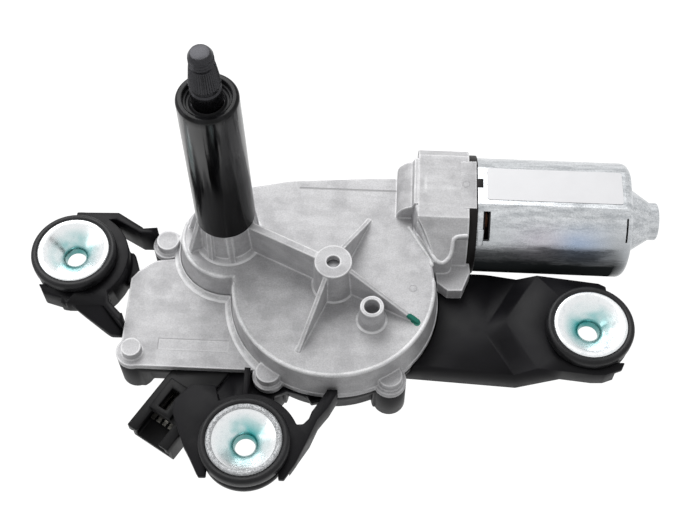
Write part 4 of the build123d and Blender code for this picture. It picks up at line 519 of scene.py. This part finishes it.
def zincPlate(name, turnedRim):
    # bright zinc plate, blue-green round the hole; turnedRim: the flat rim is dull and turned
    s = bushSettings
    material, tree, shader, place = newMaterial(name + "ZincPlate", s["plate"], 0.2, 0.8)
    wear = noise(tree, place, 1.6, 5.0, rough=0.65)
    fine = noise(tree, place, 0.3, 2.0)
    patch = noise(tree, place, 9.0, 2.0)
    reach = fromEye(tree, place, name)
    shades = ramp(tree, wear, [(0.30, s["dull"]), (0.47, s["plate"])])
    near = zone(tree, reach, 1.0, 0.0, s["tealReach"])
    tint = product(tree, near, level(tree, patch, 0.25, 1.05, 0.38, 0.60))
    tone = blendColour(tree, tint, shades, s["teal"])
    collar = zone(tree, reach, 0.85, 0.0, s["deepReach"])
    tone = blendColour(tree, collar, tone, s["deep"])
    heights = [(patch, 0.12, 0.4), (fine, 0.08, 0.03)]
    rough = grade(tree, wear, 0.16, 0.32)
    if turnedRim:
        rings = turnedRings(tree, place, name)
        rim = zone(tree, reach, 0.0, 1.0, s["rimReach"])
        grit = ramp(tree, noise(tree, place, 0.35, 3.0), [(0.36, s["rimTone"]), (0.62, s["rimPale"])])
        lines = ramp(tree, rings, [(0.2, 0.82), (0.8, 1.05)])
        tone = blendColour(tree, rim, tone, blendColour(tree, 1.0, grit, lines, "MULTIPLY"))
        heights.append((rings, 0.15, 0.05))
        rough = calc(tree, "MULTIPLY_ADD", rim, 0.3, rough)
    wire(tree, tone, shader, "Base Color")
    wire(tree, rough, shader, "Roughness")
    wire(tree, bumpFrom(tree, heights), shader, "Normal")
    return material


def workedMetal(name, tone, rough, size=1.2, depth=0.05, stretch=None, metal=0.95):
    material, tree, shader, place = newMaterial(name, tone, rough, metal)
    wear = noise(tree, place, size, 4.0, stretch=stretch, rough=0.6)
    worn = tuple(c * 0.72 for c in tone)
    bright = tuple(min(1, c * 1.15) for c in tone)
    wire(tree, ramp(tree, wear, [(0.32, worn), (0.68, bright)]), shader, "Base Color")
    wire(tree, grade(tree, wear, rough * 0.8, rough * 1.3), shader, "Roughness")
    wire(tree, bumpFrom(tree, [(wear, 0.2, depth)], 0.15), shader, "Normal")
    return material


def plainMoulded(name, tone, rough, size=6.0, depth=0.1, veins=0.12):
    material, tree, shader, place = newMaterial(name, tone, rough)
    cloud = noise(tree, place, size, 4.0)
    grain = noise(tree, place, 0.3, 2.0)
    shades = ramp(tree, cloud, [(0.3, tuple(c * (1 - veins) for c in tone)), (0.7, tone)], smooth=True)
    wire(tree, shades, shader, "Base Color")
    wire(tree, grade(tree, cloud, rough - 0.05, rough + 0.08), shader, "Roughness")
    wire(tree, bumpFrom(tree, [(cloud, 0.1, depth), (grain, 0.15, 0.02)], 0.2), shader, "Normal")
    return material


finishes = {
    "die_cast": castAluminium("castAluminium", castSettings["dark"], castSettings["light"]),
    "galvanised_can": galvanisedSheet(),
    "tube_black": glossyTubePaint(),
    "cover_plastic": mouldedBlack("coverPlastic", (0.0048, 0.0046, 0.0056), 0.36, 0.55, 0.35, 0.06),
    "connector_plastic": mouldedBlack("connectorPlastic", (0.0046, 0.0046, 0.005), 0.36, 0.52, 0.3, 0.05),
    "holder_plastic": mouldedBlack("holderPlastic", (0.010, 0.009, 0.009), 0.4, 0.55, 0.3, 0.04),
    "grommet_rubber": rubberSatin("grommetRubber", (0.0085, 0.0085, 0.0095), 0.4),
    "seal_rubber": rubberSatin("sealRubber", (0.008, 0.008, 0.009), 0.5),
    "zinc_plated": zincPlate("left", False),
    "spindle_steel": workedMetal("phosphatedSteel", (0.040, 0.040, 0.044), 0.27, 0.5, 0.06, metal=0.9),
    "screw_steel": workedMetal("zincScrew", (0.62, 0.63, 0.64), 0.3),
    "shaft_steel": workedMetal("groundSteel", (0.56, 0.57, 0.59), 0.22, 0.8, 0.02, (0.1, 1.0, 1.0)),
    "spring_steel": workedMetal("springSteel", (0.34, 0.34, 0.36), 0.3),
    "lamination_steel": workedMetal("stackedSteel", (0.24, 0.24, 0.26), 0.45, 0.5, 0.05, (1.0, 0.05, 0.05)),
    "rod_steel": workedMetal("sinteredSteel", (0.30, 0.30, 0.31), 0.5, 0.4, 0.05, metal=0.8),
    "plated_sheet": workedMetal("platedSheet", (0.60, 0.59, 0.52), 0.3),
    "sintered_bronze": workedMetal("sinteredBronze", (0.50, 0.34, 0.17), 0.45, 0.3, 0.05, metal=0.85),
    "contact_brass": workedMetal("tinnedBrass", (0.74, 0.62, 0.36), 0.28),
    "copper_bars": workedMetal("turnedCopper", (0.70, 0.38, 0.22), 0.25, 0.6, 0.02, (1.0, 0.1, 0.1)),
    "copper_enamel": workedMetal("enamelledCopper", (0.20, 0.075, 0.035), 0.3, 0.5, 0.15,
                                 (0.15, 1.0, 1.0), metal=0.6),
    "ferrite": workedMetal("sinteredFerrite", (0.055, 0.055, 0.06), 0.55, 0.3, 0.04, metal=0.3),
    "carbon": workedMetal("copperCarbon", (0.06, 0.05, 0.045), 0.5, 0.3, 0.04, metal=0.4),
    "natural_plastic": plainMoulded("naturalPlastic", (0.74, 0.71, 0.62), 0.4),
    "wheel_plastic": plainMoulded("wheelAcetal", (0.72, 0.70, 0.62), 0.35),
    "board": plainMoulded("phenolicBoard", (0.34, 0.20, 0.08), 0.5, 1.2, 0.05, 0.3),
    "label_white": plainMoulded("labelFilm", (0.86, 0.86, 0.88), 0.33, 9.0, 0.06, 0.03),
}
# paler copy of the casting: painted highlight on the fillets and beads
highlitCasting = castAluminium("highlitCasting", castSettings["highlitDark"], castSettings["highlitLight"])
ownFinish = {      # nodes that don't look like the rest of their slot
    "crank_shaft": workedMetal("axleSteel", (0.30, 0.30, 0.31), 0.5),
    "connector_pins": workedMetal("tinnedPins", (0.16, 0.155, 0.14), 0.4),
}
for name, node in cadNodes.items():
    finish = ownFinish.get(name) or finishes[slotOf[name]]
    if not node.material_slots:
        node.data.materials.append(finish)
    for holder in node.material_slots:
        holder.material = finish
print("finishes ready:", len(finishes))


# Small tools for meshes
weld = 1e-6       # corners closer than this are merged, in metres


def placePiece(name, mesh, finish, body, slot, replaced=(), at=(0, 0), sharp=38):
    # merges, turns the faces outwards, shades smooth up to the sharp angle and hands the piece to the frame
    bmesh.ops.translate(mesh, verts=mesh.verts, vec=(at[0] * mm, at[1] * mm, 0))
    bmesh.ops.remove_doubles(mesh, verts=mesh.verts, dist=weld)
    bmesh.ops.recalc_face_normals(mesh, faces=mesh.faces)
    data = bpy.data.meshes.new(name)
    mesh.to_mesh(data)
    mesh.free()
    for face in data.polygons:
        face.use_smooth = True
    data.set_sharp_from_angle(angle=radians(sharp))
    data.materials.append(finish)
    piece = bpy.data.objects.new(name, data)
    bpy.context.scene.collection.objects.link(piece)
    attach(piece, body)
    if replaced:
        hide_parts(*replaced)


def placeCasting(name, mesh, finish=finishes["die_cast"], **options):
    placePiece(name, mesh, finish, "gearbox", "die_cast", **options)


def roundEdges(mesh, edges, width, clamp=True):
    # width in millimetres; without the clamp an edge keeps its width where edges are crowded too
    bmesh.ops.bevel(mesh, geom=edges, offset=width * mm, offset_type="OFFSET", affect="EDGES",
                    segments=2, profile=0.5, clamp_overlap=clamp, loop_slide=not clamp, material=-1)


def spinShape(mesh, geom, angle, steps, full=False, axis=(0, 0, 1), rise=0.0):
    # angle in radians; rise per step in metres
    bmesh.ops.spin(mesh, geom=geom, cent=(0, 0, 0), axis=axis, dvec=(0, 0, rise), angle=angle, steps=steps,
                   use_merge=full, use_duplicate=False)


def turnedMesh(profile, steps=72, closed=True):
    # profile: radius and height in millimetres, spun round the z axis
    mesh = bmesh.new()
    points = [mesh.verts.new((r * mm, 0, z * mm)) for r, z in profile]
    pairs = list(zip(points, points[1:]))
    if closed:
        pairs.append((points[-1], points[0]))
    edges = [mesh.edges.new(pair) for pair in pairs]
    spinShape(mesh, points + edges, 2 * pi, steps, full=True)
    return mesh


def arcMesh(profile, first, last, steps):
    # the same from one angle to another, in degrees, with closed ends
    mesh = bmesh.new()
    across, ahead = cos(radians(first)), sin(radians(first))
    face = mesh.faces.new([mesh.verts.new((r * across * mm, r * ahead * mm, z * mm)) for r, z in profile])
    spinShape(mesh, [face], radians(last - first), steps)
    return mesh


def hullMesh(corners, width):
    # closed hull round corner points in millimetres, edges rounded
    mesh = bmesh.new()
    for corner in corners:
        mesh.verts.new([c * mm for c in corner])
    hull = bmesh.ops.convex_hull(mesh, input=mesh.verts[:])
    loose = [v for v in hull["geom_interior"] if isinstance(v, bmesh.types.BMVert)]
    bmesh.ops.delete(mesh, geom=loose, context="VERTS")
    bmesh.ops.dissolve_limit(mesh, angle_limit=radians(2), verts=mesh.verts, edges=mesh.edges)
    roundEdges(mesh, mesh.edges[:], width)
    return mesh


def blockMesh(x, y, z, width):
    # box between two corners in millimetres with rounded edges
    mesh = bmesh.new()
    bmesh.ops.create_cube(mesh, size=1)
    bmesh.ops.scale(mesh, verts=mesh.verts, vec=[(b - a) * mm for a, b in (x, y, z)])
    bmesh.ops.translate(mesh, verts=mesh.verts, vec=[(a + b) / 2 * mm for a, b in (x, y, z)])
    roundEdges(mesh, mesh.edges[:], width)
    return mesh


# Rounded copies of moulded CAD nodes
edgeSettings = {
    # width of the rounded edge in mm, and the angle from which an edge is sharp
    "left_arm": (0.4, 30), "right_arm": (0.4, 14), "bottom_arm": (0.4, 30),
    "connector_housing": (0.35, 30), "brush_holder": (0.3, 40), "rear_cover": (0.4, 34),
}
tries = 12
crowdedRoom = 2.2       # edges this many widths from a fold stay sharp
roomGrowth = 0.25       # more of them at each try


def foldedSpots(mesh):
    # places where a face folds over itself
    spots = []
    mesh.normal_update()
    for corners in mesh.calc_loop_triangles():
        a, b, c = (corner.vert.co for corner in corners)
        if (b - a).cross(c - a).dot(corners[0].face.normal) < -1e-11:
            ends = min(((a, b), (b, c), (c, a)), key=lambda pair: (pair[0] - pair[1]).length)
            spots += [ends[0].copy(), ends[1].copy()]
    return spots


def softenNode(name, width, angle):
    # copy of a CAD node with its sharp edges rounded, except where they are too crowded for it
    base = bmesh.new()
    base.from_mesh(cadNodes[name].data)
    bmesh.ops.remove_doubles(base, verts=base.verts, dist=weld)
    bmesh.ops.dissolve_limit(base, angle_limit=radians(0.8), verts=base.verts, edges=base.edges)
    crowded = []
    for attempt in range(tries):
        mesh = base.copy()
        sharp = [e for e in mesh.edges if len(e.link_faces) == 2 and e.calc_face_angle(0) > radians(angle)]
        if crowded:
            near = kdtree.KDTree(len(crowded))
            for i, place in enumerate(crowded):
                near.insert(place, i)
            near.balance()
            room = (crowdedRoom + roomGrowth * attempt) * width * mm
            sharp = [e for e in sharp if all(near.find(v.co)[2] > room for v in e.verts)]
        roundEdges(mesh, sharp, width, clamp=False)
        folded = foldedSpots(mesh)
        if not folded or attempt == tries - 1:
            break
        crowded += folded
        mesh.free()
    base.free()
    bmesh.ops.triangulate(mesh, faces=[f for f in mesh.faces if len(f.verts) > 4])
    body = body_of(cadNodes[name])[0]
    placePiece(name + "_soft", mesh, finishes[slotOf[name]], body, slotOf[name], (name,), sharp=50)
    print(name, "rounded after", attempt + 1, "tries")


for name, (width, angle) in edgeSettings.items():
    softenNode(name, width, angle)
print("rounded edges ready:", len(edgeSettings))

# Spindle: serrated cone, thread and rounded end
spindleSettings = {
    "foot": 3.1, "footRadius": 4.5, "radius": 5.0, "shoulder": 116.0, "neckRadius": 4.55,
    "grooveFrom": 106.1, "grooveTo": 107.3, "grooveRadius": 4.6,
    "coneFrom": 118.6, "coneTo": 126.6, "coneFoot": 5.15, "coneTop": 4.2, "rows": 6,
    "teeth": 38, "toothDepth": 0.30,
    "threadTop": 130.6, "threadRoot": 3.4, "threadRadius": 4.02, "pitch": 1.25, "stepsPerTurn": 40,
    "top": 132.5, "endRadius": 3.0,
}


def cutTeeth(mesh, steps):
    # every second column of the cone sinks
    s = spindleSettings
    for v in mesh.verts:
        if s["coneFrom"] - 0.01 < v.co.z / mm < s["coneTo"] + 0.01:
            column = round(atan2(v.co.y, v.co.x) / (2 * pi) * steps)
            if column % 2:
                shrink = 1 - s["toothDepth"] * mm / hypot(v.co.x, v.co.y)
                v.co.x, v.co.y = v.co.x * shrink, v.co.y * shrink


def addThread(mesh):
    # a tooth spun up the end
    s = spindleSettings
    root, crest = s["threadRoot"] - 0.1, s["threadRadius"]
    base = s["coneTo"] - 0.2
    turns = (s["threadTop"] - s["coneTo"] - 0.4) / s["pitch"]
    steps = int(turns * s["stepsPerTurn"])
    tooth = [(root, 0), (crest, 0.5), (crest, 0.62), (root, 1.12)]
    face = mesh.faces.new([mesh.verts.new((r * mm, 0, (base + z) * mm)) for r, z in tooth])
    spinShape(mesh, [face], 2 * pi * turns, steps, rise=turns * s["pitch"] / steps * mm)


def makeSpindle():
    s = spindleSettings
    radius, low, high = s["radius"], s["coneFrom"], s["coneTo"]
    profile = [(0, s["foot"]), (s["footRadius"], s["foot"]), (radius, s["foot"] + 0.5),
               (radius, s["grooveFrom"]), (s["grooveRadius"], s["grooveFrom"]),
               (s["grooveRadius"], s["grooveTo"]), (radius, s["grooveTo"]),
               (radius, s["shoulder"]), (s["neckRadius"], s["shoulder"] + 0.5),
               (s["neckRadius"], low - 0.3), (s["coneFoot"] - 0.25, low - 0.2)]
    for i in range(s["rows"] + 1):
        t = i / s["rows"]
        profile.append((s["coneFoot"] + (s["coneTop"] - s["coneFoot"]) * t, low + (high - low) * t))
    profile += [(s["threadRoot"], high + 0.3), (s["threadRoot"], s["threadTop"]),
                (s["threadRadius"] - 0.1, s["threadTop"] + 0.35),
                (s["threadRadius"] - 0.35, s["threadTop"] + 0.9),
                (s["endRadius"] + 0.15, s["top"] - 0.15), (s["endRadius"] - 0.2, s["top"]), (0, s["top"])]
    steps = s["teeth"] * 2
    mesh = turnedMesh(profile, steps, closed=False)
    bmesh.ops.remove_doubles(mesh, verts=mesh.verts, dist=weld)
    cutTeeth(mesh, steps)
    addThread(mesh)
    placePiece("spindleShaft", mesh, finishes["spindle_steel"], "spindle", "spindle_steel", ("spindle",),
               sharp=30)


makeSpindle()
print("spindle ready")

# Grommets and bushes of the three eyes
grommetSettings = {"radius": 15.5, "foot": 17.0, "groove": 11.95, "seam": 24.9, "bore": 13.05, "steps": 96}
bushShape = [
    (3.5, 18.6), (7.1, 18.6), (7.5, 19.0), (7.5, 19.6), (7.1, 19.8), (5.4, 19.85), (4.75, 20.4),
    (4.75, 21.4), (5.4, 22.3), (7.2, 23.6), (9.3, 24.9), (11.0, 26.05), (12.0, 26.3), (13.0, 26.35),
    (13.0, 27.0), (12.8, 27.35), (12.4, 27.5), (11.7, 27.5), (11.2, 27.4), (10.4, 26.95), (8.8, 25.9),
    (7.0, 24.75), (5.6, 23.8), (4.6, 22.95), (3.95, 22.1), (3.6, 21.1), (3.5, 20.2),
]
bushFinish = {
    "left": finishes["zinc_plated"],
    "right": zincPlate("right", False),
    "bottom": zincPlate("bottom", True),
}


def grommetShape():
    s = grommetSettings
    r, foot, groove, seam, bore = s["radius"], s["foot"], s["groove"], s["seam"], s["bore"]
    lowerRim = [(8.3, foot), (r - 1.5, foot), (r - 0.8, foot + 0.25), (r - 0.5, foot + 0.9), (r - 0.5, 19.3),
                (r - 0.8, 19.9), (r - 1.4, 20.1)]
    upperRim = [(groove, 20.1), (groove, 22.5), (r - 1.3, 22.5), (r - 0.4, 22.8), (r - 0.05, 23.4),
                (r, seam - 0.25), (r, seam), (r, seam + 0.25), (r - 0.02, 26.0), (r - 0.25, 26.8),
                (r - 0.75, 27.25), (r - 1.3, 27.3)]
    inside = [(bore + 0.25, 27.2), (bore, 26.9), (bore, 26.3), (11.05, 26.0), (9.35, 24.85), (7.25, 23.55),
              (5.45, 22.25), (4.8, 21.4), (4.8, 19.9), (7.55, 19.85), (7.55, 18.6)]
    return lowerRim + upperRim + inside


for name, place in eyes.items():
    rubber = turnedMesh(grommetShape(), grommetSettings["steps"])
    placePiece(name + "GrommetRubber", rubber, finishes["grommet_rubber"], "gearbox", "grommet_rubber",
               (name + "_grommet",), place, sharp=50)
    plate = turnedMesh(bushShape, grommetSettings["steps"])
    placePiece(name + "BushPlate", plate, bushFinish[name], "gearbox", "zinc_plated",
               (name + "_bush",), place, sharp=60)
print("eyes ready")

# Left arm: sloping lower limb and the ear beside the eye
limbSettings = {
    "leftArmLimb": [
        (-57.0, -25.8, 22.2), (-44.8, -25.6, 22.2), (-53.0, -27.0, 17.0), (-51.6, -27.2, 13.2),
        (-40.9, -34.6, 15.3), (-40.9, -34.6, 12.0), (-36.9, -34.5, 15.0), (-36.3, -34.5, 12.0),
        (-43.0, -24.6, 19.0), (-38.0, -28.6, 15.4), (-36.9, -28.6, 15.0), (-36.3, -28.6, 12.0),
        (-43.4, -24.8, 12.2)],
    "leftArmEar": [
        (-67.6, -19.8, 21.8), (-66.2, -22.4, 21.8), (-58.9, -24.3, 21.8), (-57.0, -23.2, 21.8),
        (-67.6, -19.8, 14.2), (-66.2, -22.4, 13.8), (-58.9, -24.3, 13.4), (-57.0, -23.2, 13.4),
        (-66.8, -19.4, 14.2), (-66.8, -19.4, 21.8)],
}
limbRound, webRound = 0.5, 0.3      # width of the rounded edges
for name, corners in limbSettings.items():
    placePiece(name, hullMesh(corners, limbRound), finishes["cover_plastic"], "gearbox", "cover_plastic")
print("left arm ready")

# Web that closes the corner between the wheel chamber and the neck, and a pad on the back wall
webSettings = {
    "upperNeckWeb": [
        (65.9, 11.3, 29.0), (66.9, 11.3, 38.6), (68.3, 11.3, 38.8), (68.3, 5.4, 38.6), (68.3, 4.9, 30.0),
        (68.5, 4.5, 29.0), (66.6, 7.5, 29.0), (68.3, 11.3, 29.0)],
    "lowerNeckWeb": [
        (66.4, 11.3, 29.05), (68.3, 11.3, 29.05), (68.4, 3.2, 29.05), (67.0, 3.2, 29.05), (66.4, 11.3, 19.0),
        (68.3, 11.3, 19.0), (68.4, 3.2, 19.0), (67.0, 3.2, 19.0)],
    "backWallPad": [
        (21.5, 25.3, 17.9), (30.5, 25.7, 17.9), (21.5, 25.3, 23.4), (30.5, 25.7, 23.4), (22.3, 26.75, 18.3),
        (29.7, 27.5, 18.3), (22.3, 26.6, 23.0), (29.7, 27.3, 23.0)],
}
for name, corners in webSettings.items():
    placeCasting(name, hullMesh(corners, webRound))
print("neck web and back pad ready")

# Fillets where the walls stand on the casting's faces
wheelCentre, pinCentre = (39.0, -18.0), (53.0, -31.8)
filletSettings = {
    # centre, radius of the wall, height of the face, size, first and last angle
    "chamber": (wheelCentre, 37.6, 17.3, 2.2, 181.5, 231.5),
    "turret": ((0.0, 0.0), 19.3, 17.3, 2.0, 150.0, 274.0),
    "hollowPin": (pinCentre, 4.05, 29.1, 1.6, 0.0, 360.0),
    "wheelBoss": (wheelCentre, 6.45, 29.1, 1.6, 0.0, 360.0),
    "towerFoot": ((0.0, 0.0), 10.4, 29.1, 2.2, 0.0, 360.0),
}
filletSteps = 6
sunkInWall, sunkInFace = 0.3, 0.2       # how far a fillet reaches into the casting, in mm


def filletShape(radius, height, size):
    profile = [(radius - sunkInWall, height + size), (radius, height + size)]
    for i in range(1, filletSteps):
        turn = radians(90 * i / filletSteps)
        profile.append((radius + size - size * cos(turn), height + size - size * sin(turn)))
    return profile + [(radius + size, height), (radius + size, height - sunkInFace),
                      (radius - sunkInWall, height - sunkInFace)]


for name, (centre, radius, height, size, first, last) in filletSettings.items():
    profile = filletShape(radius, height, size)
    if last - first == 360:
        placeCasting(name + "Fillet", turnedMesh(profile), at=centre)
    else:
        steps = max(12, int((last - first) / 5))      # one for every five degrees
        # the paler copy: painted highlight on these fillets
        placeCasting(name + "Fillet", arcMesh(profile, first, last, steps), highlitCasting, at=centre)
print("fillets ready:", len(filletSettings))

# Rounded beads along the walls' top edges and round the neck
rimSettings = {
    # centre, radius and height of the bead's middle, first and last angle
    "chamberRim": (wheelCentre, 35.55, 28.6, 181, 368),
    "turretRim": ((0.0, 0.0), 16.55, 28.6, 158, 272),
}
rimBead, rimStep = 0.85, 6      # radius in mm, degrees from point to point
beadSettings = {
    # radius, and the points of the bead's middle
    "wallFootBead": (0.75, [
        (65.0, 7.4, 28.9), (66.0, 5.6, 28.9), (68.6, 1.3, 28.9), (71.2, -2.9, 28.9), (73.1, -6.1, 28.7),
        (74.0, -9.0, 28.4)]),
    "neckOutlineBead": (0.8, [
        (68.6, 5.2, 36.6), (69.0, 3.6, 35.4), (71.8, -0.9, 31.5), (74.1, -5.6, 30.4), (75.6, -7.2, 29.6),
        (77.6, -7.5, 29.1), (79.2, -6.7, 30.0), (80.3, -5.4, 31.1), (80.8, -3.2, 32.7), (81.1, -1.0, 34.2),
        (82.4, 0.1, 34.9), (85.1, 0.4, 35.3), (86.3, 0.4, 35.3)]),
}
beadSides = 10
drawnIn = 0.4       # size of a bead's end


def smoothLine(points, between):
    # Catmull-Rom line through the points
    rows = [Vector(p) for p in points]
    rows = [rows[0] * 2 - rows[1]] + rows + [rows[-1] * 2 - rows[-2]]
    line = []
    for i in range(1, len(rows) - 2):
        a, b, c, d = rows[i - 1:i + 3]
        for k in range(between):
            t = k / between
            bend = (2 * a - 5 * b + 4 * c - d) * t * t + (3 * b - a - 3 * c + d) * t ** 3
            line.append(0.5 * (2 * b + (c - a) * t + bend))
    return line + [rows[-2]]


def beadMesh(points, radius, between=5):
    # round bead along a smooth line through points in millimetres
    path = smoothLine(points, between)
    last = len(path) - 1
    turns = [2 * pi * k / beadSides for k in range(beadSides)]
    mesh = bmesh.new()
    rings = []
    for i, middle in enumerate(path):
        ahead = (path[min(i + 1, last)] - path[max(i - 1, 0)]).normalized()
        across = ahead.cross(Vector((0, 0, 1))).normalized()
        upward = across.cross(ahead)
        size = radius * (drawnIn if i in (0, last) else 1.0)
        spokes = [(across * cos(turn) + upward * sin(turn)) * size for turn in turns]
        rings.append([mesh.verts.new((middle + spoke) * mm) for spoke in spokes])
    for first, second in zip(rings, rings[1:]):
        for k in range(beadSides):
            n = (k + 1) % beadSides
            mesh.faces.new((first[k], first[n], second[n], second[k]))
    mesh.faces.new(rings[0])
    mesh.faces.new(rings[-1])
    return mesh


# beads take the paler copy of the casting, with painted highlight
for name, ((x, y), radius, height, first, last) in rimSettings.items():
    angles = [radians(a) for a in range(first, last + 1, rimStep)]
    line = [(x + radius * cos(a), y + radius * sin(a), height) for a in angles]
    placeCasting(name, beadMesh(line, rimBead, between=2), highlitCasting, sharp=60)
for name, (radius, line) in beadSettings.items():
    placeCasting(name, beadMesh(line, radius), highlitCasting, sharp=60)
print("beads ready")

# Neck's lip over the brush holder, holder's lug in the can's notch and the can's bent tab
lipSettings = {
    "from": 82.5, "to": 89.2, "front": 9.4, "back": 30.0, "low": 36.6, "high": 39.8, "round": 0.25,
    "sunkEdge": 0.45,       # the left edge sinks this far, into the neck's top
}
lugSettings = {
    "from": 89.4, "to": 91.6, "front": 18.6, "back": 22.4, "low": 39.18, "high": 39.78, "round": 0.12,
}
tabSettings = {"from": 89.9, "to": 92.0, "angles": (47.0, 64.0), "radius": 21.75, "thick": 0.7, "steps": 8}
motorAxis = (19.5, 19.8)        # y and z


def barMesh(s):
    return blockMesh((s["from"], s["to"]), (s["front"], s["back"]), (s["low"], s["high"]), s["round"])


def makeNeckLip():
    s = lipSettings
    mesh = barMesh(s)
    for v in mesh.verts:
        if v.co.x < (s["from"] + 1) * mm and v.co.z > (s["high"] - 0.5) * mm:
            v.co.z -= s["sunkEdge"] * mm
    placeCasting("neckLip", mesh)


def makeCanTab():
    s = tabSettings
    low, high = s["radius"] - s["thick"], s["radius"]
    profile = [(low, s["from"]), (low, s["to"]), (high - 0.15, s["to"]), (high, s["to"] - 0.25),
               (high, s["from"] + 0.25), (high - 0.15, s["from"])]
    start, end = (radians(a) for a in s["angles"])
    mesh = bmesh.new()
    corners = [(x, -sin(start) * r, cos(start) * r) for r, x in profile]
    face = mesh.faces.new([mesh.verts.new([c * mm for c in corner]) for corner in corners])
    spinShape(mesh, [face], end - start, s["steps"], axis=(1, 0, 0))
    bmesh.ops.translate(mesh, verts=mesh.verts, vec=(0, motorAxis[0] * mm, motorAxis[1] * mm))
    placePiece("canTab", mesh, finishes["galvanised_can"], "gearbox", "galvanised_can")


makeNeckLip()
placePiece("holderLug", barMesh(lugSettings), finishes["holder_plastic"], "gearbox", "holder_plastic")
makeCanTab()
print("motor trim ready")
